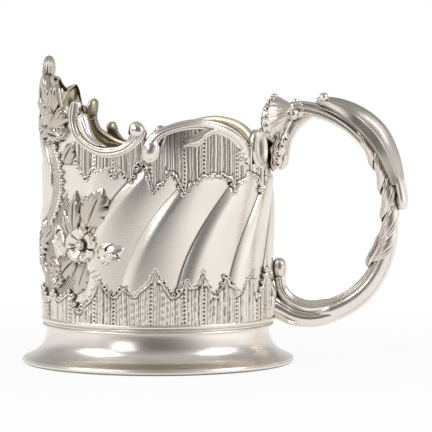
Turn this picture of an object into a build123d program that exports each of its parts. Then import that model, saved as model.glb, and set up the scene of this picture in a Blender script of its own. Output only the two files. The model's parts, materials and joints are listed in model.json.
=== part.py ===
from build123d import *
import os
from math import asin, cos, degrees, radians, sin, sqrt

# Tea glass holder. Millimetres, +Z up, standing on z = 0 with the well on the Z axis.
# The handle is at +X, the cartouche and crest at -X, and the back mirrors the front.

# Well and wall
bore_radius = 34.5
wall_thickness = 1.0
wall_height = 66.6
glass_clearance = 0.5

# Foot
foot_height = 12.2
foot_spread = 7.7
foot_wall = 1.0
rim_wire_width = 2.6
rim_wire_height = 2.0
rim_wire_round = 0.7
neck_inset = 0.4
neck_straight = 1.0
neck_wire_height = 0.8
neck_wire_width = 0.8
seat_thickness = 1.2
bead_width = 1.6
bead_height = 2.4

# Spiral lobes raised in the wall
lobe_count = 13
lobe_relief = 1.3
lobe_root = 0.3
lobe_start = 1.0
lobe_height = 46.5
lobe_crest_share = 0.28
lobe_lean = 0.62
lobe_curl = 0.0075
lobe_turn = -91.2
lobe_datum = 26.0
field_half_angle = 58.0

# Ribbed fringes over the ends of the lobes
fringe_relief = 1.1
rib_count = 91
rib_radius = 0.7
lower_fringe_height = 16.2
lower_scallop_radius = 6.4
upper_fringe_start = 42.0
upper_fringe_height = 22.0
upper_scallop_radius = 3.6

# Rim, drawn on a plane turned from the handle's plane
rim_turn = 6.0
scroll_relief = 2.3
scroll_width = 3.0
scoop_shift = -16.8
scoop_drop = 1.95
scoop_radius = 10.84
scoop_from = 157.0
scoop_to = 352.0
crown_drop = 19.5
crown_radius = 16.0
crown_from = 8.0
crown_to = 150.0
curl_radius = 2.3
handle_notch = 8.0
leaf_band_width = 2.6
leaf_band_relief = 1.5
spur_length = 9.5
spur_width = 3.0

petal_angle = 153.6
petal_length = 11.0
petal_width = 4.6
petal_relief = 1.9
petal_lap = 2.29777

# Crest and cartouche
crest_relief = 2.0
crest_height = 11.0
crest_half_width = 27.6
palmette_height = 17.4
palmette_half_width = 6.5
palmette_relief = 0.4
shield_half_width = 18.0
shield_half_height = 12.0
shield_height = 58.5
shield_relief = 0.9
frame_width = 4.0
frame_relief = 1.8
apron_height = 38.0
apron_half_width = 13.0
apron_half_height = 7.5
apron_relief = 2.2

# Flowers, by the angle from the cartouche
flower_sink = 0.6
rose_angle = 55.0
rose_height = 39.2
rose_radius = 5.4
rose_relief = 3.0
bud_angle = 71.6
bud_height = 36.8
bud_length = 8.0
bud_width = 5.0
bud_relief = 2.6
leaf_length = 13.0
leaf_width = 6.5
leaf_relief = 2.1

# Handle
handle_gap = 8.5
handle_reach = 29.6
handle_rise = 33.0
handle_height = 47.5
handle_top_turn = 88.0
handle_bottom_turn = -85.0
shank_top_depth = 3.8
shank_mid_depth = 5.2
shank_low_depth = 7.4
shank_width = 6.4
shank_wall = 1.1
leaf_sink = 0.6
leaf_plate_width = 13.0
leaf_lift = 3.4
terminal_radius = 7.5
terminal_rise = 4.5
pad_relief = 2.1
pad_half_width = 4.2
volute_radius = 1.9
volute_height = 7.0
shell_half_width = 12.8
shell_half_height = 12.3
shell_drop = 8.7
knuckle_radius = 1.9
twist_leaf_width = 3.6

# Derived sizes
wall_radius = bore_radius + wall_thickness
neck_radius = wall_radius - neck_inset
foot_radius = wall_radius + foot_spread
seat_top = foot_height + seat_thickness
wall_top = seat_top + wall_height
bead_top = foot_height + bead_height
lobe_bottom = bead_top + lobe_start
fringe_radius = wall_radius + fringe_relief - rib_radius / 2
scallop_depth = 2 * (fringe_relief + lobe_relief) + rib_radius
scoop_height = wall_top - scoop_drop
crown_height = wall_top - crown_drop
# The crown's arch ends beside the petal, whose middle lies this far past it
crown_shift = -wall_radius * cos(radians(petal_angle)) - petal_lap - crown_radius
notch_top = wall_top - handle_notch
handle_x = wall_radius + handle_gap
reach = wall_radius + foot_spread + handle_reach
tall = wall_top + palmette_height + crest_height

front = Plane(
    origin=(0, 0, 0),
    x_dir=(cos(radians(rim_turn)), sin(radians(rim_turn)), 0),
    z_dir=(sin(radians(rim_turn)), -cos(radians(rim_turn)), 0),
)


def polar(radius, angle):
    return (radius * cos(radians(angle)), radius * sin(radians(angle)))


def wrap_on_wall(inner, outer):
    """Keeps what lies between two radii about the well."""
    base = (Align.CENTER, Align.CENTER, Align.MIN)
    Cylinder(outer, tall, align=base, mode=Mode.INTERSECT)
    Cylinder(inner, tall, align=base, mode=Mode.SUBTRACT)


def wall_plane(angle, height, radius):
    """Plane that faces out of the wall, at an angle from the cartouche toward the front."""
    turn = radians(180 + angle)
    return Plane(
        origin=(radius * cos(turn), radius * sin(turn), height),
        x_dir=(-sin(turn), cos(turn), 0),
        z_dir=(cos(turn), sin(turn), 0),
    )


def leaf_outline(length, width):
    """Pointed leaf along Y, its middle at the origin."""
    with BuildSketch() as leaf:
        with BuildLine():
            ThreePointArc((0, -length / 2), (width / 2, -length * 0.08), (0, length / 2))
            ThreePointArc((0, length / 2), (-width / 2, -length * 0.08), (0, -length / 2))
        make_face()
    return leaf.sketch


def handle_point(turn, out=0.0):
    """Point of the handle's line, moved out along its normal."""
    along = (handle_reach * cos(radians(turn)), handle_rise * sin(radians(turn)))
    normal = Vector(along[0] / handle_reach**2, 0, along[1] / handle_rise**2).normalized()
    return Vector(handle_x + along[0], 0, handle_height + along[1]) + normal * out


def handle_plane(turn):
    """Plane across the handle, local X to the far side and local Y outward."""
    heading = Vector(handle_reach * sin(radians(turn)), 0, -handle_rise * cos(radians(turn)))
    return Plane(origin=handle_point(turn), x_dir=(0, 1, 0), z_dir=heading)


def shank_depth(share):
    """Depth of the shank at a share of its length from the top."""
    swell = min(share, 0.5) * 2
    low = max(share - 0.5, 0) * 2
    depth = shank_top_depth + (shank_mid_depth - shank_top_depth) * swell
    return depth + (shank_low_depth - shank_mid_depth) * low


# Foot
with BuildPart() as foot_rim_wire:
    with BuildSketch(Plane.XZ):
        with Locations((foot_radius, 0)):
            Rectangle(rim_wire_width, rim_wire_height, align=(Align.MAX, Align.MIN))
        fillet(vertices().group_by(Axis.X)[-1], rim_wire_round)
    revolve(axis=Axis.Z)
foot_rim_wire.part.label = "foot_rim_wire"

flare_end = foot_radius - rim_wire_round - 0.2
flare_width = flare_end - neck_radius
flare_drop = foot_height - neck_straight - rim_wire_height
flare_radius = (flare_drop**2 + flare_width**2) / (2 * flare_width)
flare_centre = (neck_radius + flare_radius, foot_height - neck_straight)
under_radius = flare_radius + foot_wall
under_end = flare_centre[0] - sqrt(under_radius**2 - flare_drop**2)
flare_mid = 180 + degrees(asin(flare_drop / flare_radius)) / 2
under_mid = 180 + degrees(asin(flare_drop / under_radius)) / 2
with BuildPart() as foot_flare:
    with BuildSketch(Plane.XZ):
        with BuildLine():
            Polyline(
                (neck_radius, flare_centre[1]),
                (neck_radius, foot_height),
                (neck_radius - foot_wall, foot_height),
                (neck_radius - foot_wall, flare_centre[1]),
            )
            ThreePointArc(
                (neck_radius - foot_wall, flare_centre[1]),
                Vector(*flare_centre) + Vector(*polar(under_radius, under_mid)),
                (under_end, rim_wire_height),
            )
            Line((under_end, rim_wire_height), (flare_end, rim_wire_height))
            ThreePointArc(
                (flare_end, rim_wire_height),
                Vector(*flare_centre) + Vector(*polar(flare_radius, flare_mid)),
                (neck_radius, flare_centre[1]),
            )
        make_face()
    revolve(axis=Axis.Z)
foot_flare.part.label = "foot_flare"

with BuildPart() as neck_wire:
    with BuildSketch(Plane.XZ):
        with Locations((neck_radius, foot_height)):
            Rectangle(neck_wire_width, neck_wire_height, align=(Align.MIN, Align.MAX))
        fillet(vertices().group_by(Axis.X)[-1], neck_wire_height * 0.35)
    revolve(axis=Axis.Z)
neck_wire.part.label = "neck_wire"

with BuildPart() as seat_disc:
    with BuildSketch(Plane.XY.offset(foot_height)):
        Circle(wall_radius)
    extrude(amount=seat_thickness)
seat_disc.part.label = "seat_disc"

with BuildPart() as joint_bead:
    with BuildSketch(Plane.XZ):
        with Locations((wall_radius, foot_height)):
            Rectangle(bead_width, bead_height, align=(Align.MIN, Align.MIN))
        fillet(vertices().group_by(Axis.X)[-1], bead_height * 0.42)
    revolve(axis=Axis.Z)
joint_bead.part.label = "joint_bead"

# Air above the shaped rim, front half and its mirror image
scoop_left = scoop_shift - sqrt(scoop_radius**2 - scoop_drop**2)
scoop_end = 340.0
crown_start = 128.0
crown_end = 22.0
scoop_exit = Vector(scoop_shift, scoop_height) + Vector(*polar(scoop_radius, scoop_end))
crown_entry = Vector(crown_shift, crown_height) + Vector(*polar(crown_radius, crown_start))
crown_exit = Vector(crown_shift, crown_height) + Vector(*polar(crown_radius, crown_end))
with BuildPart() as rim_air:
    with BuildSketch(front):
        with BuildLine():
            Line((-reach, wall_top), (scoop_left, wall_top))
            ThreePointArc(
                (scoop_left, wall_top),
                (scoop_shift, scoop_height - scoop_radius),
                scoop_exit,
            )
            Line(scoop_exit, crown_entry)
            ThreePointArc(crown_entry, (crown_shift, crown_height + crown_radius), crown_exit)
            Polyline(
                crown_exit,
                (crown_exit.X + 2.0, notch_top),
                (reach, notch_top),
                (reach, tall),
                (-reach, tall),
                (-reach, wall_top),
            )
        make_face()
    extrude(amount=reach)
    mirror(about=Plane.XZ)

# Zones of the fringes, with their scalloped edges
upper_level = seat_top + upper_fringe_start
with BuildPart() as lower_zone:
    Cylinder(reach, bead_top + lower_fringe_height, align=(Align.CENTER, Align.CENTER, Align.MIN))
    with Locations((0, 0, bead_top + lower_fringe_height)):
        with PolarLocations(fringe_radius, lobe_count, start_angle=lobe_turn):
            Cylinder(lower_scallop_radius, scallop_depth, rotation=(0, 90, 0), mode=Mode.SUBTRACT)
    Cylinder(
        wall_radius, tall, align=(Align.CENTER, Align.CENTER, Align.MIN), mode=Mode.SUBTRACT
    )

with BuildPart() as upper_zone:
    with Locations((0, 0, upper_level)):
        Cylinder(reach, tall, align=(Align.CENTER, Align.CENTER, Align.MIN))
        with PolarLocations(fringe_radius, lobe_count * 2, start_angle=-90):
            Cylinder(upper_scallop_radius, scallop_depth, rotation=(0, 90, 0), mode=Mode.SUBTRACT)
    Cylinder(
        wall_radius, 2 * tall, align=(Align.CENTER, Align.CENTER, Align.MIN), mode=Mode.SUBTRACT
    )

# Wall with its lobes, clear of them under the fringes and behind the cartouche
with BuildPart() as field_zone:
    with BuildSketch(Plane.YZ):
        with Locations((0, bead_top)):
            Rectangle(
                2 * wall_radius * sin(radians(field_half_angle)),
                wall_height,
                align=(Align.CENTER, Align.MIN),
            )
    extrude(amount=-reach)
    Cylinder(
        wall_radius, tall, align=(Align.CENTER, Align.CENTER, Align.MIN), mode=Mode.SUBTRACT
    )

with BuildPart() as wall_sleeve:
    for step in range(8):
        level = lobe_bottom + lobe_height * step / 7
        rise = level - lobe_datum
        twist = lobe_turn + lobe_lean * rise + lobe_curl * rise * abs(rise)
        with BuildSketch(Plane.XY.offset(level)):
            with BuildLine():
                for lobe in range(lobe_count):
                    pitch = 360 / lobe_count
                    start = twist + lobe * pitch
                    crest = start + pitch * lobe_crest_share
                    ThreePointArc(
                        polar(wall_radius + lobe_root, start),
                        polar(wall_radius + lobe_relief * 0.8, (start + crest) / 2),
                        polar(wall_radius + lobe_relief, crest),
                    )
                    ThreePointArc(
                        polar(wall_radius + lobe_relief, crest),
                        polar(wall_radius + lobe_relief * 0.78, (start + pitch + crest) / 2),
                        polar(wall_radius + lobe_root, start + pitch),
                    )
            make_face()
    loft()
    with BuildSketch(Plane.XY.offset(seat_top)):
        Circle(wall_radius)
    extrude(amount=wall_height)
    add(lower_zone.part, mode=Mode.SUBTRACT)
    add(upper_zone.part, mode=Mode.SUBTRACT)
    add(field_zone.part, mode=Mode.SUBTRACT)
    with BuildSketch(Plane.XY.offset(seat_top)):
        Circle(bore_radius)
    extrude(amount=wall_height, mode=Mode.SUBTRACT)
    add(rim_air.part, mode=Mode.SUBTRACT)
wall_sleeve.part.label = "wall_sleeve"

# Scroll mouldings on the rim
with BuildPart() as scoop_scroll_front:
    with BuildSketch(front):
        with BuildLine():
            CenterArc(
                (scoop_shift, scoop_height), scoop_radius, scoop_from, scoop_to - scoop_from
            )
        trace(line_width=scroll_width)
        with Locations((scoop_shift, scoop_height)):
            with Locations(polar(scoop_radius - curl_radius * 0.4, scoop_to)):
                Circle(curl_radius)
            with Locations(polar(scoop_radius, scoop_from)):
                Circle(scroll_width / 2)
    extrude(amount=reach)
    wrap_on_wall(wall_radius, wall_radius + scroll_relief)
scoop_scroll_front.part.label = "scoop_scroll_front"

with BuildPart() as scoop_scroll_back:
    mirror(scoop_scroll_front.part, about=Plane.XZ)
scoop_scroll_back.part.label = "scoop_scroll_back"

with BuildPart() as crown_scroll_front:
    with BuildSketch(front):
        with BuildLine():
            CenterArc(
                (crown_shift, crown_height), crown_radius, crown_from, crown_to - crown_from
            )
        trace(line_width=scroll_width)
        with Locations((crown_shift, crown_height)):
            with Locations(polar(crown_radius - curl_radius * 0.6, crown_to + 4)):
                Circle(curl_radius * 1.25)
            with Locations(polar(crown_radius - curl_radius * 0.3, crown_from)):
                Circle(curl_radius)
    extrude(amount=reach)
    wrap_on_wall(wall_radius, wall_radius + scroll_relief)
    add(scoop_scroll_front.part, mode=Mode.SUBTRACT)
crown_scroll_front.part.label = "crown_scroll_front"

with BuildPart() as crown_scroll_back:
    mirror(crown_scroll_front.part, about=Plane.XZ)
crown_scroll_back.part.label = "crown_scroll_back"

# Leaf band inside each scoop, on the outer face of the wall
band_radius = scoop_radius - scroll_width / 2 - leaf_band_width / 2
with BuildPart() as scoop_leaf_front:
    with BuildSketch(front):
        with BuildLine():
            CenterArc((scoop_shift, scoop_height), band_radius, 172, 88)
        trace(line_width=leaf_band_width)
    extrude(amount=reach)
    wrap_on_wall(wall_radius, wall_radius + leaf_band_relief)
scoop_leaf_front.part.label = "scoop_leaf_front"

with BuildPart() as scoop_leaf_back:
    mirror(scoop_leaf_front.part, about=Plane.XZ)
scoop_leaf_back.part.label = "scoop_leaf_back"

# Leaf that branches off under each arch
spur_angle = 84.0
with BuildPart() as spur_leaf_front:
    with BuildSketch(front):
        with Locations((crown_shift, crown_height)):
            with Locations(polar(crown_radius - scroll_width / 2 - spur_length * 0.3, spur_angle + 8)):
                add(leaf_outline(spur_length, spur_width), rotation=128)
    extrude(amount=reach)
    wrap_on_wall(wall_radius, wall_radius + scroll_relief * 0.8)
    add(crown_scroll_front.part, mode=Mode.SUBTRACT)
spur_leaf_front.part.label = "spur_leaf_front"

with BuildPart() as spur_leaf_back:
    mirror(spur_leaf_front.part, about=Plane.XZ)
spur_leaf_back.part.label = "spur_leaf_back"

# Crest on the ledge of the wall, and its palmette
crest_top = wall_top + crest_height
tip_top = wall_top + palmette_height
step_in = crest_half_width * 0.78
with BuildPart() as crest_plaque:
    with BuildSketch(Plane.YZ):
        with BuildLine():
            Line((0, wall_top), (crest_half_width * 0.96, wall_top))
            ThreePointArc(
                (crest_half_width * 0.96, wall_top),
                (crest_half_width, wall_top + crest_height * 0.35),
                (crest_half_width * 0.93, wall_top + crest_height * 0.75),
            )
            ThreePointArc(
                (crest_half_width * 0.93, wall_top + crest_height * 0.75),
                (crest_half_width * 0.86, wall_top + crest_height * 0.6),
                (step_in, wall_top + crest_height * 0.7),
            )
            ThreePointArc(
                (step_in, wall_top + crest_height * 0.7),
                (step_in * 0.8, crest_top),
                (palmette_half_width, crest_top),
            )
            Line((palmette_half_width, crest_top), (0, crest_top))
            mirror(about=Plane.YZ)
        make_face()
    extrude(amount=-reach)
    wrap_on_wall(bore_radius + glass_clearance, wall_radius + crest_relief)
    add(scoop_scroll_front.part, mode=Mode.SUBTRACT)
    add(scoop_scroll_back.part, mode=Mode.SUBTRACT)
    add(scoop_leaf_front.part, mode=Mode.SUBTRACT)
    add(scoop_leaf_back.part, mode=Mode.SUBTRACT)
crest_plaque.part.label = "crest_plaque"

with BuildPart() as crest_palmette:
    with BuildSketch(Plane.YZ):
        with BuildLine():
            Line((0, crest_top), (palmette_half_width, crest_top))
            ThreePointArc(
                (palmette_half_width, crest_top),
                (palmette_half_width * 0.9, (crest_top + 2 * tip_top) / 3),
                (palmette_half_width * 0.35, tip_top),
            )
            Line((palmette_half_width * 0.35, tip_top), (0, tip_top))
            mirror(about=Plane.YZ)
        make_face()
    extrude(amount=-reach)
    wrap_on_wall(bore_radius + glass_clearance, wall_radius + crest_relief + palmette_relief)
crest_palmette.part.label = "crest_palmette"

# Cartouche
with BuildPart() as shield_plaque:
    with BuildSketch(Plane.YZ):
        with Locations((0, shield_height)):
            Ellipse(shield_half_width, shield_half_height)
    extrude(amount=-reach)
    wrap_on_wall(wall_radius, wall_radius + shield_relief)
shield_plaque.part.label = "shield_plaque"

with BuildPart() as cartouche_frame:
    with BuildSketch(Plane.YZ):
        with Locations((0, shield_height)):
            Ellipse(shield_half_width + frame_width, shield_half_height + frame_width)
            Ellipse(shield_half_width, shield_half_height, mode=Mode.SUBTRACT)
    extrude(amount=-reach)
    wrap_on_wall(wall_radius, wall_radius + frame_relief)
cartouche_frame.part.label = "cartouche_frame"

with BuildPart() as cartouche_apron:
    with BuildSketch(Plane.YZ):
        with Locations((0, apron_height)):
            Ellipse(apron_half_width, apron_half_height)
            with PolarLocations(apron_half_height * 0.8, 6, start_angle=30):
                Circle(apron_half_height * 0.4)
    extrude(amount=-reach)
    wrap_on_wall(wall_radius, wall_radius + apron_relief)
    add(cartouche_frame.part, mode=Mode.SUBTRACT)
    add(shield_plaque.part, mode=Mode.SUBTRACT)
    add(lower_zone.part, mode=Mode.SUBTRACT)
cartouche_apron.part.label = "cartouche_apron"

# Handle line, solid and its hollow
shank_stations = (0.0, 0.16, 0.34, 0.5, 0.66, 0.82, 1.0)
with BuildPart() as shank_form:
    for share in shank_stations:
        turn = handle_top_turn + (handle_bottom_turn - handle_top_turn) * share
        with BuildSketch(handle_plane(turn)):
            Ellipse(shank_width / 2, shank_depth(share) / 2)
    loft()

with BuildPart() as shank_hollow:
    for share in shank_stations:
        turn = handle_top_turn + (handle_bottom_turn - handle_top_turn) * share
        with BuildSketch(handle_plane(turn)):
            Ellipse(shank_width / 2 - shank_wall, shank_depth(share) / 2 - shank_wall)
    loft()

with BuildPart() as handle_shank_near:
    add(shank_form.part)
    add(shank_hollow.part, mode=Mode.SUBTRACT)
    split(bisect_by=Plane.XZ, keep=Keep.TOP)
handle_shank_near.part.label = "handle_shank_near"

with BuildPart() as handle_shank_far:
    mirror(handle_shank_near.part, about=Plane.XZ)
handle_shank_far.part.label = "handle_shank_far"

# Leaf along the outside of the handle, seated on the shank
with BuildPart() as thumb_leaf:
    for turn, wide, lift in (
        (74, 0.3, 0.95),
        (64, 0.7, 1.3),
        (48, 1.0, 1.75),
        (35, 1.0, 1.5),
        (20, 0.85, 1.4),
        (10, 0.6, 1.3),
        (2, 0.3, 1.15),
    ):
        depth = shank_depth((handle_top_turn - turn) / (handle_top_turn - handle_bottom_turn))
        half = leaf_plate_width * wide / 2
        seat = depth / 2 - leaf_sink
        with BuildSketch(handle_plane(turn)):
            with BuildLine():
                ThreePointArc((-half, seat), (0, seat + leaf_lift * lift), (half, seat))
                Line((half, seat), (-half, seat))
            make_face()
    loft()
    add(shank_form.part, mode=Mode.SUBTRACT)
thumb_leaf.part.label = "thumb_leaf"

# Lower end of the handle: it turns up along the wall to a curl
shank_foot = handle_plane(handle_bottom_turn)
turn_centre = shank_foot.origin - shank_foot.y_dir * terminal_radius


def terminal_plane(swing):
    """Plane across the lower end, swung from the foot of the shank up toward the wall."""
    spoke = (shank_foot.origin - turn_centre).rotate(Axis.Y, swing)
    heading = shank_foot.z_dir.rotate(Axis.Y, swing)
    return Plane(origin=turn_centre + spoke, x_dir=(0, 1, 0), z_dir=heading)


volute_base = terminal_plane(88).offset(terminal_rise).origin
pad_half_height = (volute_base.Z - bead_top) / 2
with BuildPart() as lower_pad:
    with BuildSketch(Plane.YZ):
        with Locations((0, bead_top + pad_half_height)):
            Ellipse(pad_half_width, pad_half_height)
    extrude(amount=reach)
    wrap_on_wall(wall_radius, wall_radius + pad_relief)
    add(wall_sleeve.part, mode=Mode.SUBTRACT)
lower_pad.part.label = "lower_pad"

with BuildPart() as lower_terminal:
    for swing, wide, deep in ((0, 1.0, 1.0), (40, 0.92, 0.8), (88, 0.8, 0.58)):
        with BuildSketch(terminal_plane(swing)):
            Ellipse(shank_width / 2 * wide, shank_low_depth / 2 * deep)
    with BuildSketch(terminal_plane(88).offset(terminal_rise)):
        Ellipse(shank_width / 2 * 0.7, shank_low_depth / 2 * 0.5)
    loft()
    wrap_on_wall(wall_radius + pad_relief, reach)
lower_terminal.part.label = "lower_terminal"

with BuildPart() as lower_volute:
    with Locations(volute_base):
        Cylinder(volute_radius, volute_height, align=(Align.CENTER, Align.CENTER, Align.MIN))
    fillet(edges().group_by(Axis.Z)[-1], volute_radius * 0.9)
    wrap_on_wall(wall_radius + pad_relief, reach)
    add(lower_terminal.part, mode=Mode.SUBTRACT)
lower_volute.part.label = "lower_volute"

# Shell that fixes the handle at the top
shell_apex = handle_plane(handle_top_turn)
shell_mouth = sqrt(wall_radius**2 - shell_half_width**2)
with BuildPart() as handle_shell:
    for share, size in ((0.0, 0.0), (0.3, 0.2), (0.55, 0.52), (0.8, 0.95), (1.0, 1.05)):
        place = shell_apex.origin.X + (shell_mouth - shell_apex.origin.X) * share
        level = shell_apex.origin.Z - shell_drop * share
        wide = shank_width / 2 + (shell_half_width - shank_width / 2) * size
        high = shank_top_depth / 2 + (shell_half_height - shank_top_depth / 2) * size
        with BuildSketch(Plane(origin=(place, 0, level), x_dir=(0, 1, 0), z_dir=(-1, 0, 0))):
            Ellipse(wide, high)
    loft()
    wrap_on_wall(wall_radius, reach)
    add(wall_sleeve.part, mode=Mode.SUBTRACT)
    add(shank_form.part, mode=Mode.SUBTRACT)
handle_shell.part.label = "handle_shell"

with BuildPart() as shell_knuckle:
    for side in (-1, 1):
        with Locations((shell_apex.origin.X - 1.2, side * shank_width * 0.5, shell_apex.origin.Z - 1.6)):
            Sphere(knuckle_radius)
    add(handle_shell.part, mode=Mode.SUBTRACT)
    add(shank_form.part, mode=Mode.SUBTRACT)
shell_knuckle.part.label = "shell_knuckle"

# Leaf curls on the inside of the handle
with BuildPart() as twist_leaf:
    for turn, size in ((4, 1.0), (-15, 1.15), (-30, 0.9)):
        spot = handle_point(turn, -shank_mid_depth * 0.62)
        with BuildSketch(Plane(origin=spot, x_dir=(1, 0, 0), z_dir=(0, -1, 0))):
            add(leaf_outline(twist_leaf_width * 2.2 * size, twist_leaf_width), rotation=12 - turn * 0.8)
        extrude(amount=shank_width * 0.3, both=True)
    add(shank_form.part, mode=Mode.SUBTRACT)
twist_leaf.part.label = "twist_leaf"

# Ribbed fringes over the ends of the lobes
with BuildPart() as lower_fringe:
    with BuildSketch(Plane.XY.offset(bead_top)):
        Circle(fringe_radius)
        with PolarLocations(fringe_radius, rib_count):
            Circle(rib_radius)
        Circle(wall_radius, mode=Mode.SUBTRACT)
    extrude(amount=lower_fringe_height)
    with Locations((0, 0, bead_top + lower_fringe_height)):
        with PolarLocations(fringe_radius, lobe_count, start_angle=lobe_turn):
            Cylinder(lower_scallop_radius, scallop_depth, rotation=(0, 90, 0), mode=Mode.SUBTRACT)
    add(lower_pad.part, mode=Mode.SUBTRACT)
lower_fringe.part.label = "lower_fringe"

fringe_left = scoop_shift - scoop_radius * 0.55
fringe_right = crown_exit.X
with BuildPart() as upper_fringe_front:
    with BuildSketch(Plane.XY.offset(upper_level)):
        Circle(fringe_radius)
        with PolarLocations(fringe_radius, rib_count):
            Circle(rib_radius)
        Circle(wall_radius, mode=Mode.SUBTRACT)
    extrude(amount=upper_fringe_height)
    with BuildSketch(front):
        with Locations((fringe_left, upper_level)):
            Rectangle(
                fringe_right - fringe_left, upper_fringe_height, align=(Align.MIN, Align.MIN)
            )
    extrude(amount=reach, mode=Mode.INTERSECT)
    with Locations((0, 0, upper_level)):
        with PolarLocations(fringe_radius, lobe_count * 2, start_angle=-90):
            Cylinder(upper_scallop_radius, scallop_depth, rotation=(0, 90, 0), mode=Mode.SUBTRACT)
    add(rim_air.part, mode=Mode.SUBTRACT)
    add(scoop_scroll_front.part, mode=Mode.SUBTRACT)
    add(crown_scroll_front.part, mode=Mode.SUBTRACT)
    add(scoop_leaf_front.part, mode=Mode.SUBTRACT)
    add(spur_leaf_front.part, mode=Mode.SUBTRACT)
upper_fringe_front.part.label = "upper_fringe_front"

with BuildPart() as upper_fringe_back:
    mirror(upper_fringe_front.part, about=Plane.XZ)
upper_fringe_back.part.label = "upper_fringe_back"

# Petal on the wall beside the handle
with BuildPart() as end_petal_front:
    with BuildSketch(wall_plane(petal_angle, notch_top - petal_length * 0.3, wall_radius)):
        Ellipse(petal_width / 2, petal_length / 2)
    extrude(amount=petal_relief * 2, both=True)
    wrap_on_wall(wall_radius, wall_radius + petal_relief)
    add(crown_scroll_front.part, mode=Mode.SUBTRACT)
    add(handle_shell.part, mode=Mode.SUBTRACT)
    add(upper_fringe_front.part, mode=Mode.SUBTRACT)
end_petal_front.part.label = "end_petal_front"

with BuildPart() as end_petal_back:
    mirror(end_petal_front.part, about=Plane.XZ)
end_petal_back.part.label = "end_petal_back"

# Flowers beside the cartouche
sunk = wall_radius - flower_sink


def rose_form(side):
    """Five petals round a boss, reaching into the wall."""
    with BuildPart() as flower:
        with BuildSketch(wall_plane(side * rose_angle, rose_height, sunk)):
            Circle(rose_radius * 0.5)
            with PolarLocations(rose_radius * 0.56, 5, start_angle=90):
                Circle(rose_radius * 0.44)
        extrude(amount=flower_sink + rose_relief * 0.7)
        with BuildSketch(wall_plane(side * rose_angle, rose_height, sunk)):
            Circle(rose_radius * 0.3)
        extrude(amount=flower_sink + rose_relief)
    return flower.part


def bud_form(side):
    """A bud on each side of the rose, reaching into the wall."""
    with BuildPart() as buds:
        for angle, height, lean in (
            (bud_angle, bud_height, -70),
            (2 * rose_angle - bud_angle, bud_height + bud_width * 0.7, 25),
        ):
            with BuildSketch(wall_plane(side * angle, height, sunk)):
                Ellipse(bud_width / 2, bud_length / 2, rotation=side * lean)
            extrude(amount=flower_sink + bud_relief)
    return buds.part


def spray_form(side):
    """Three leaves round the rose, reaching into the wall."""
    with BuildPart() as leaves:
        for angle, height, lean, size in (
            (rose_angle + 7.0, rose_height + 10.2, -24, 1.0),
            (rose_angle - 7.5, rose_height + 10.0, 4, 0.8),
            (rose_angle - 1.0, rose_height - 8.0, 160, 0.55),
        ):
            with BuildSketch(wall_plane(side * angle, height, sunk)):
                add(leaf_outline(leaf_length * size, leaf_width * size), rotation=side * lean)
            extrude(amount=flower_sink + leaf_relief)
    return leaves.part


with BuildPart() as rose_front:
    add(rose_form(1))
    add(wall_sleeve.part, mode=Mode.SUBTRACT)
rose_front.part.label = "rose_front"

with BuildPart() as rose_back:
    add(rose_form(-1))
    add(wall_sleeve.part, mode=Mode.SUBTRACT)
rose_back.part.label = "rose_back"

with BuildPart() as bud_front:
    add(bud_form(1))
    add(wall_sleeve.part, mode=Mode.SUBTRACT)
    add(rose_front.part, mode=Mode.SUBTRACT)
bud_front.part.label = "bud_front"

with BuildPart() as bud_back:
    add(bud_form(-1))
    add(wall_sleeve.part, mode=Mode.SUBTRACT)
    add(rose_back.part, mode=Mode.SUBTRACT)
bud_back.part.label = "bud_back"

with BuildPart() as leaf_spray_front:
    add(spray_form(1))
    add(wall_sleeve.part, mode=Mode.SUBTRACT)
    add(rose_front.part, mode=Mode.SUBTRACT)
    add(bud_front.part, mode=Mode.SUBTRACT)
    add(lower_zone.part, mode=Mode.SUBTRACT)
    add(upper_fringe_front.part, mode=Mode.SUBTRACT)
leaf_spray_front.part.label = "leaf_spray_front"

with BuildPart() as leaf_spray_back:
    add(spray_form(-1))
    add(wall_sleeve.part, mode=Mode.SUBTRACT)
    add(rose_back.part, mode=Mode.SUBTRACT)
    add(bud_back.part, mode=Mode.SUBTRACT)
    add(lower_zone.part, mode=Mode.SUBTRACT)
    add(upper_fringe_back.part, mode=Mode.SUBTRACT)
leaf_spray_back.part.label = "leaf_spray_back"

os.makedirs("parts", exist_ok=True)
for piece in (
    foot_rim_wire,
    foot_flare,
    neck_wire,
    seat_disc,
    joint_bead,
    wall_sleeve,
    lower_fringe,
    upper_fringe_front,
    upper_fringe_back,
    scoop_scroll_front,
    scoop_scroll_back,
    crown_scroll_front,
    crown_scroll_back,
    scoop_leaf_front,
    scoop_leaf_back,
    spur_leaf_front,
    spur_leaf_back,
    end_petal_front,
    end_petal_back,
    crest_plaque,
    crest_palmette,
    shield_plaque,
    cartouche_frame,
    cartouche_apron,
    rose_front,
    rose_back,
    bud_front,
    bud_back,
    leaf_spray_front,
    leaf_spray_back,
    handle_shank_near,
    handle_shank_far,
    thumb_leaf,
    twist_leaf,
    handle_shell,
    shell_knuckle,
    lower_terminal,
    lower_volute,
    lower_pad,
):
    export_step(piece.part, f"parts/{piece.part.label}.step")
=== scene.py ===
"""Looks of a silver tea glass holder: spiral lobes, ribbed fringes, scrolled rim, flowers and leaf handle."""
import json

import bmesh
import bpy
import numpy as np
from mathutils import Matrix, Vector
from numpy import clip, concatenate, cos, interp, linspace, maximum, pi, radians, sin, sqrt


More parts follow.
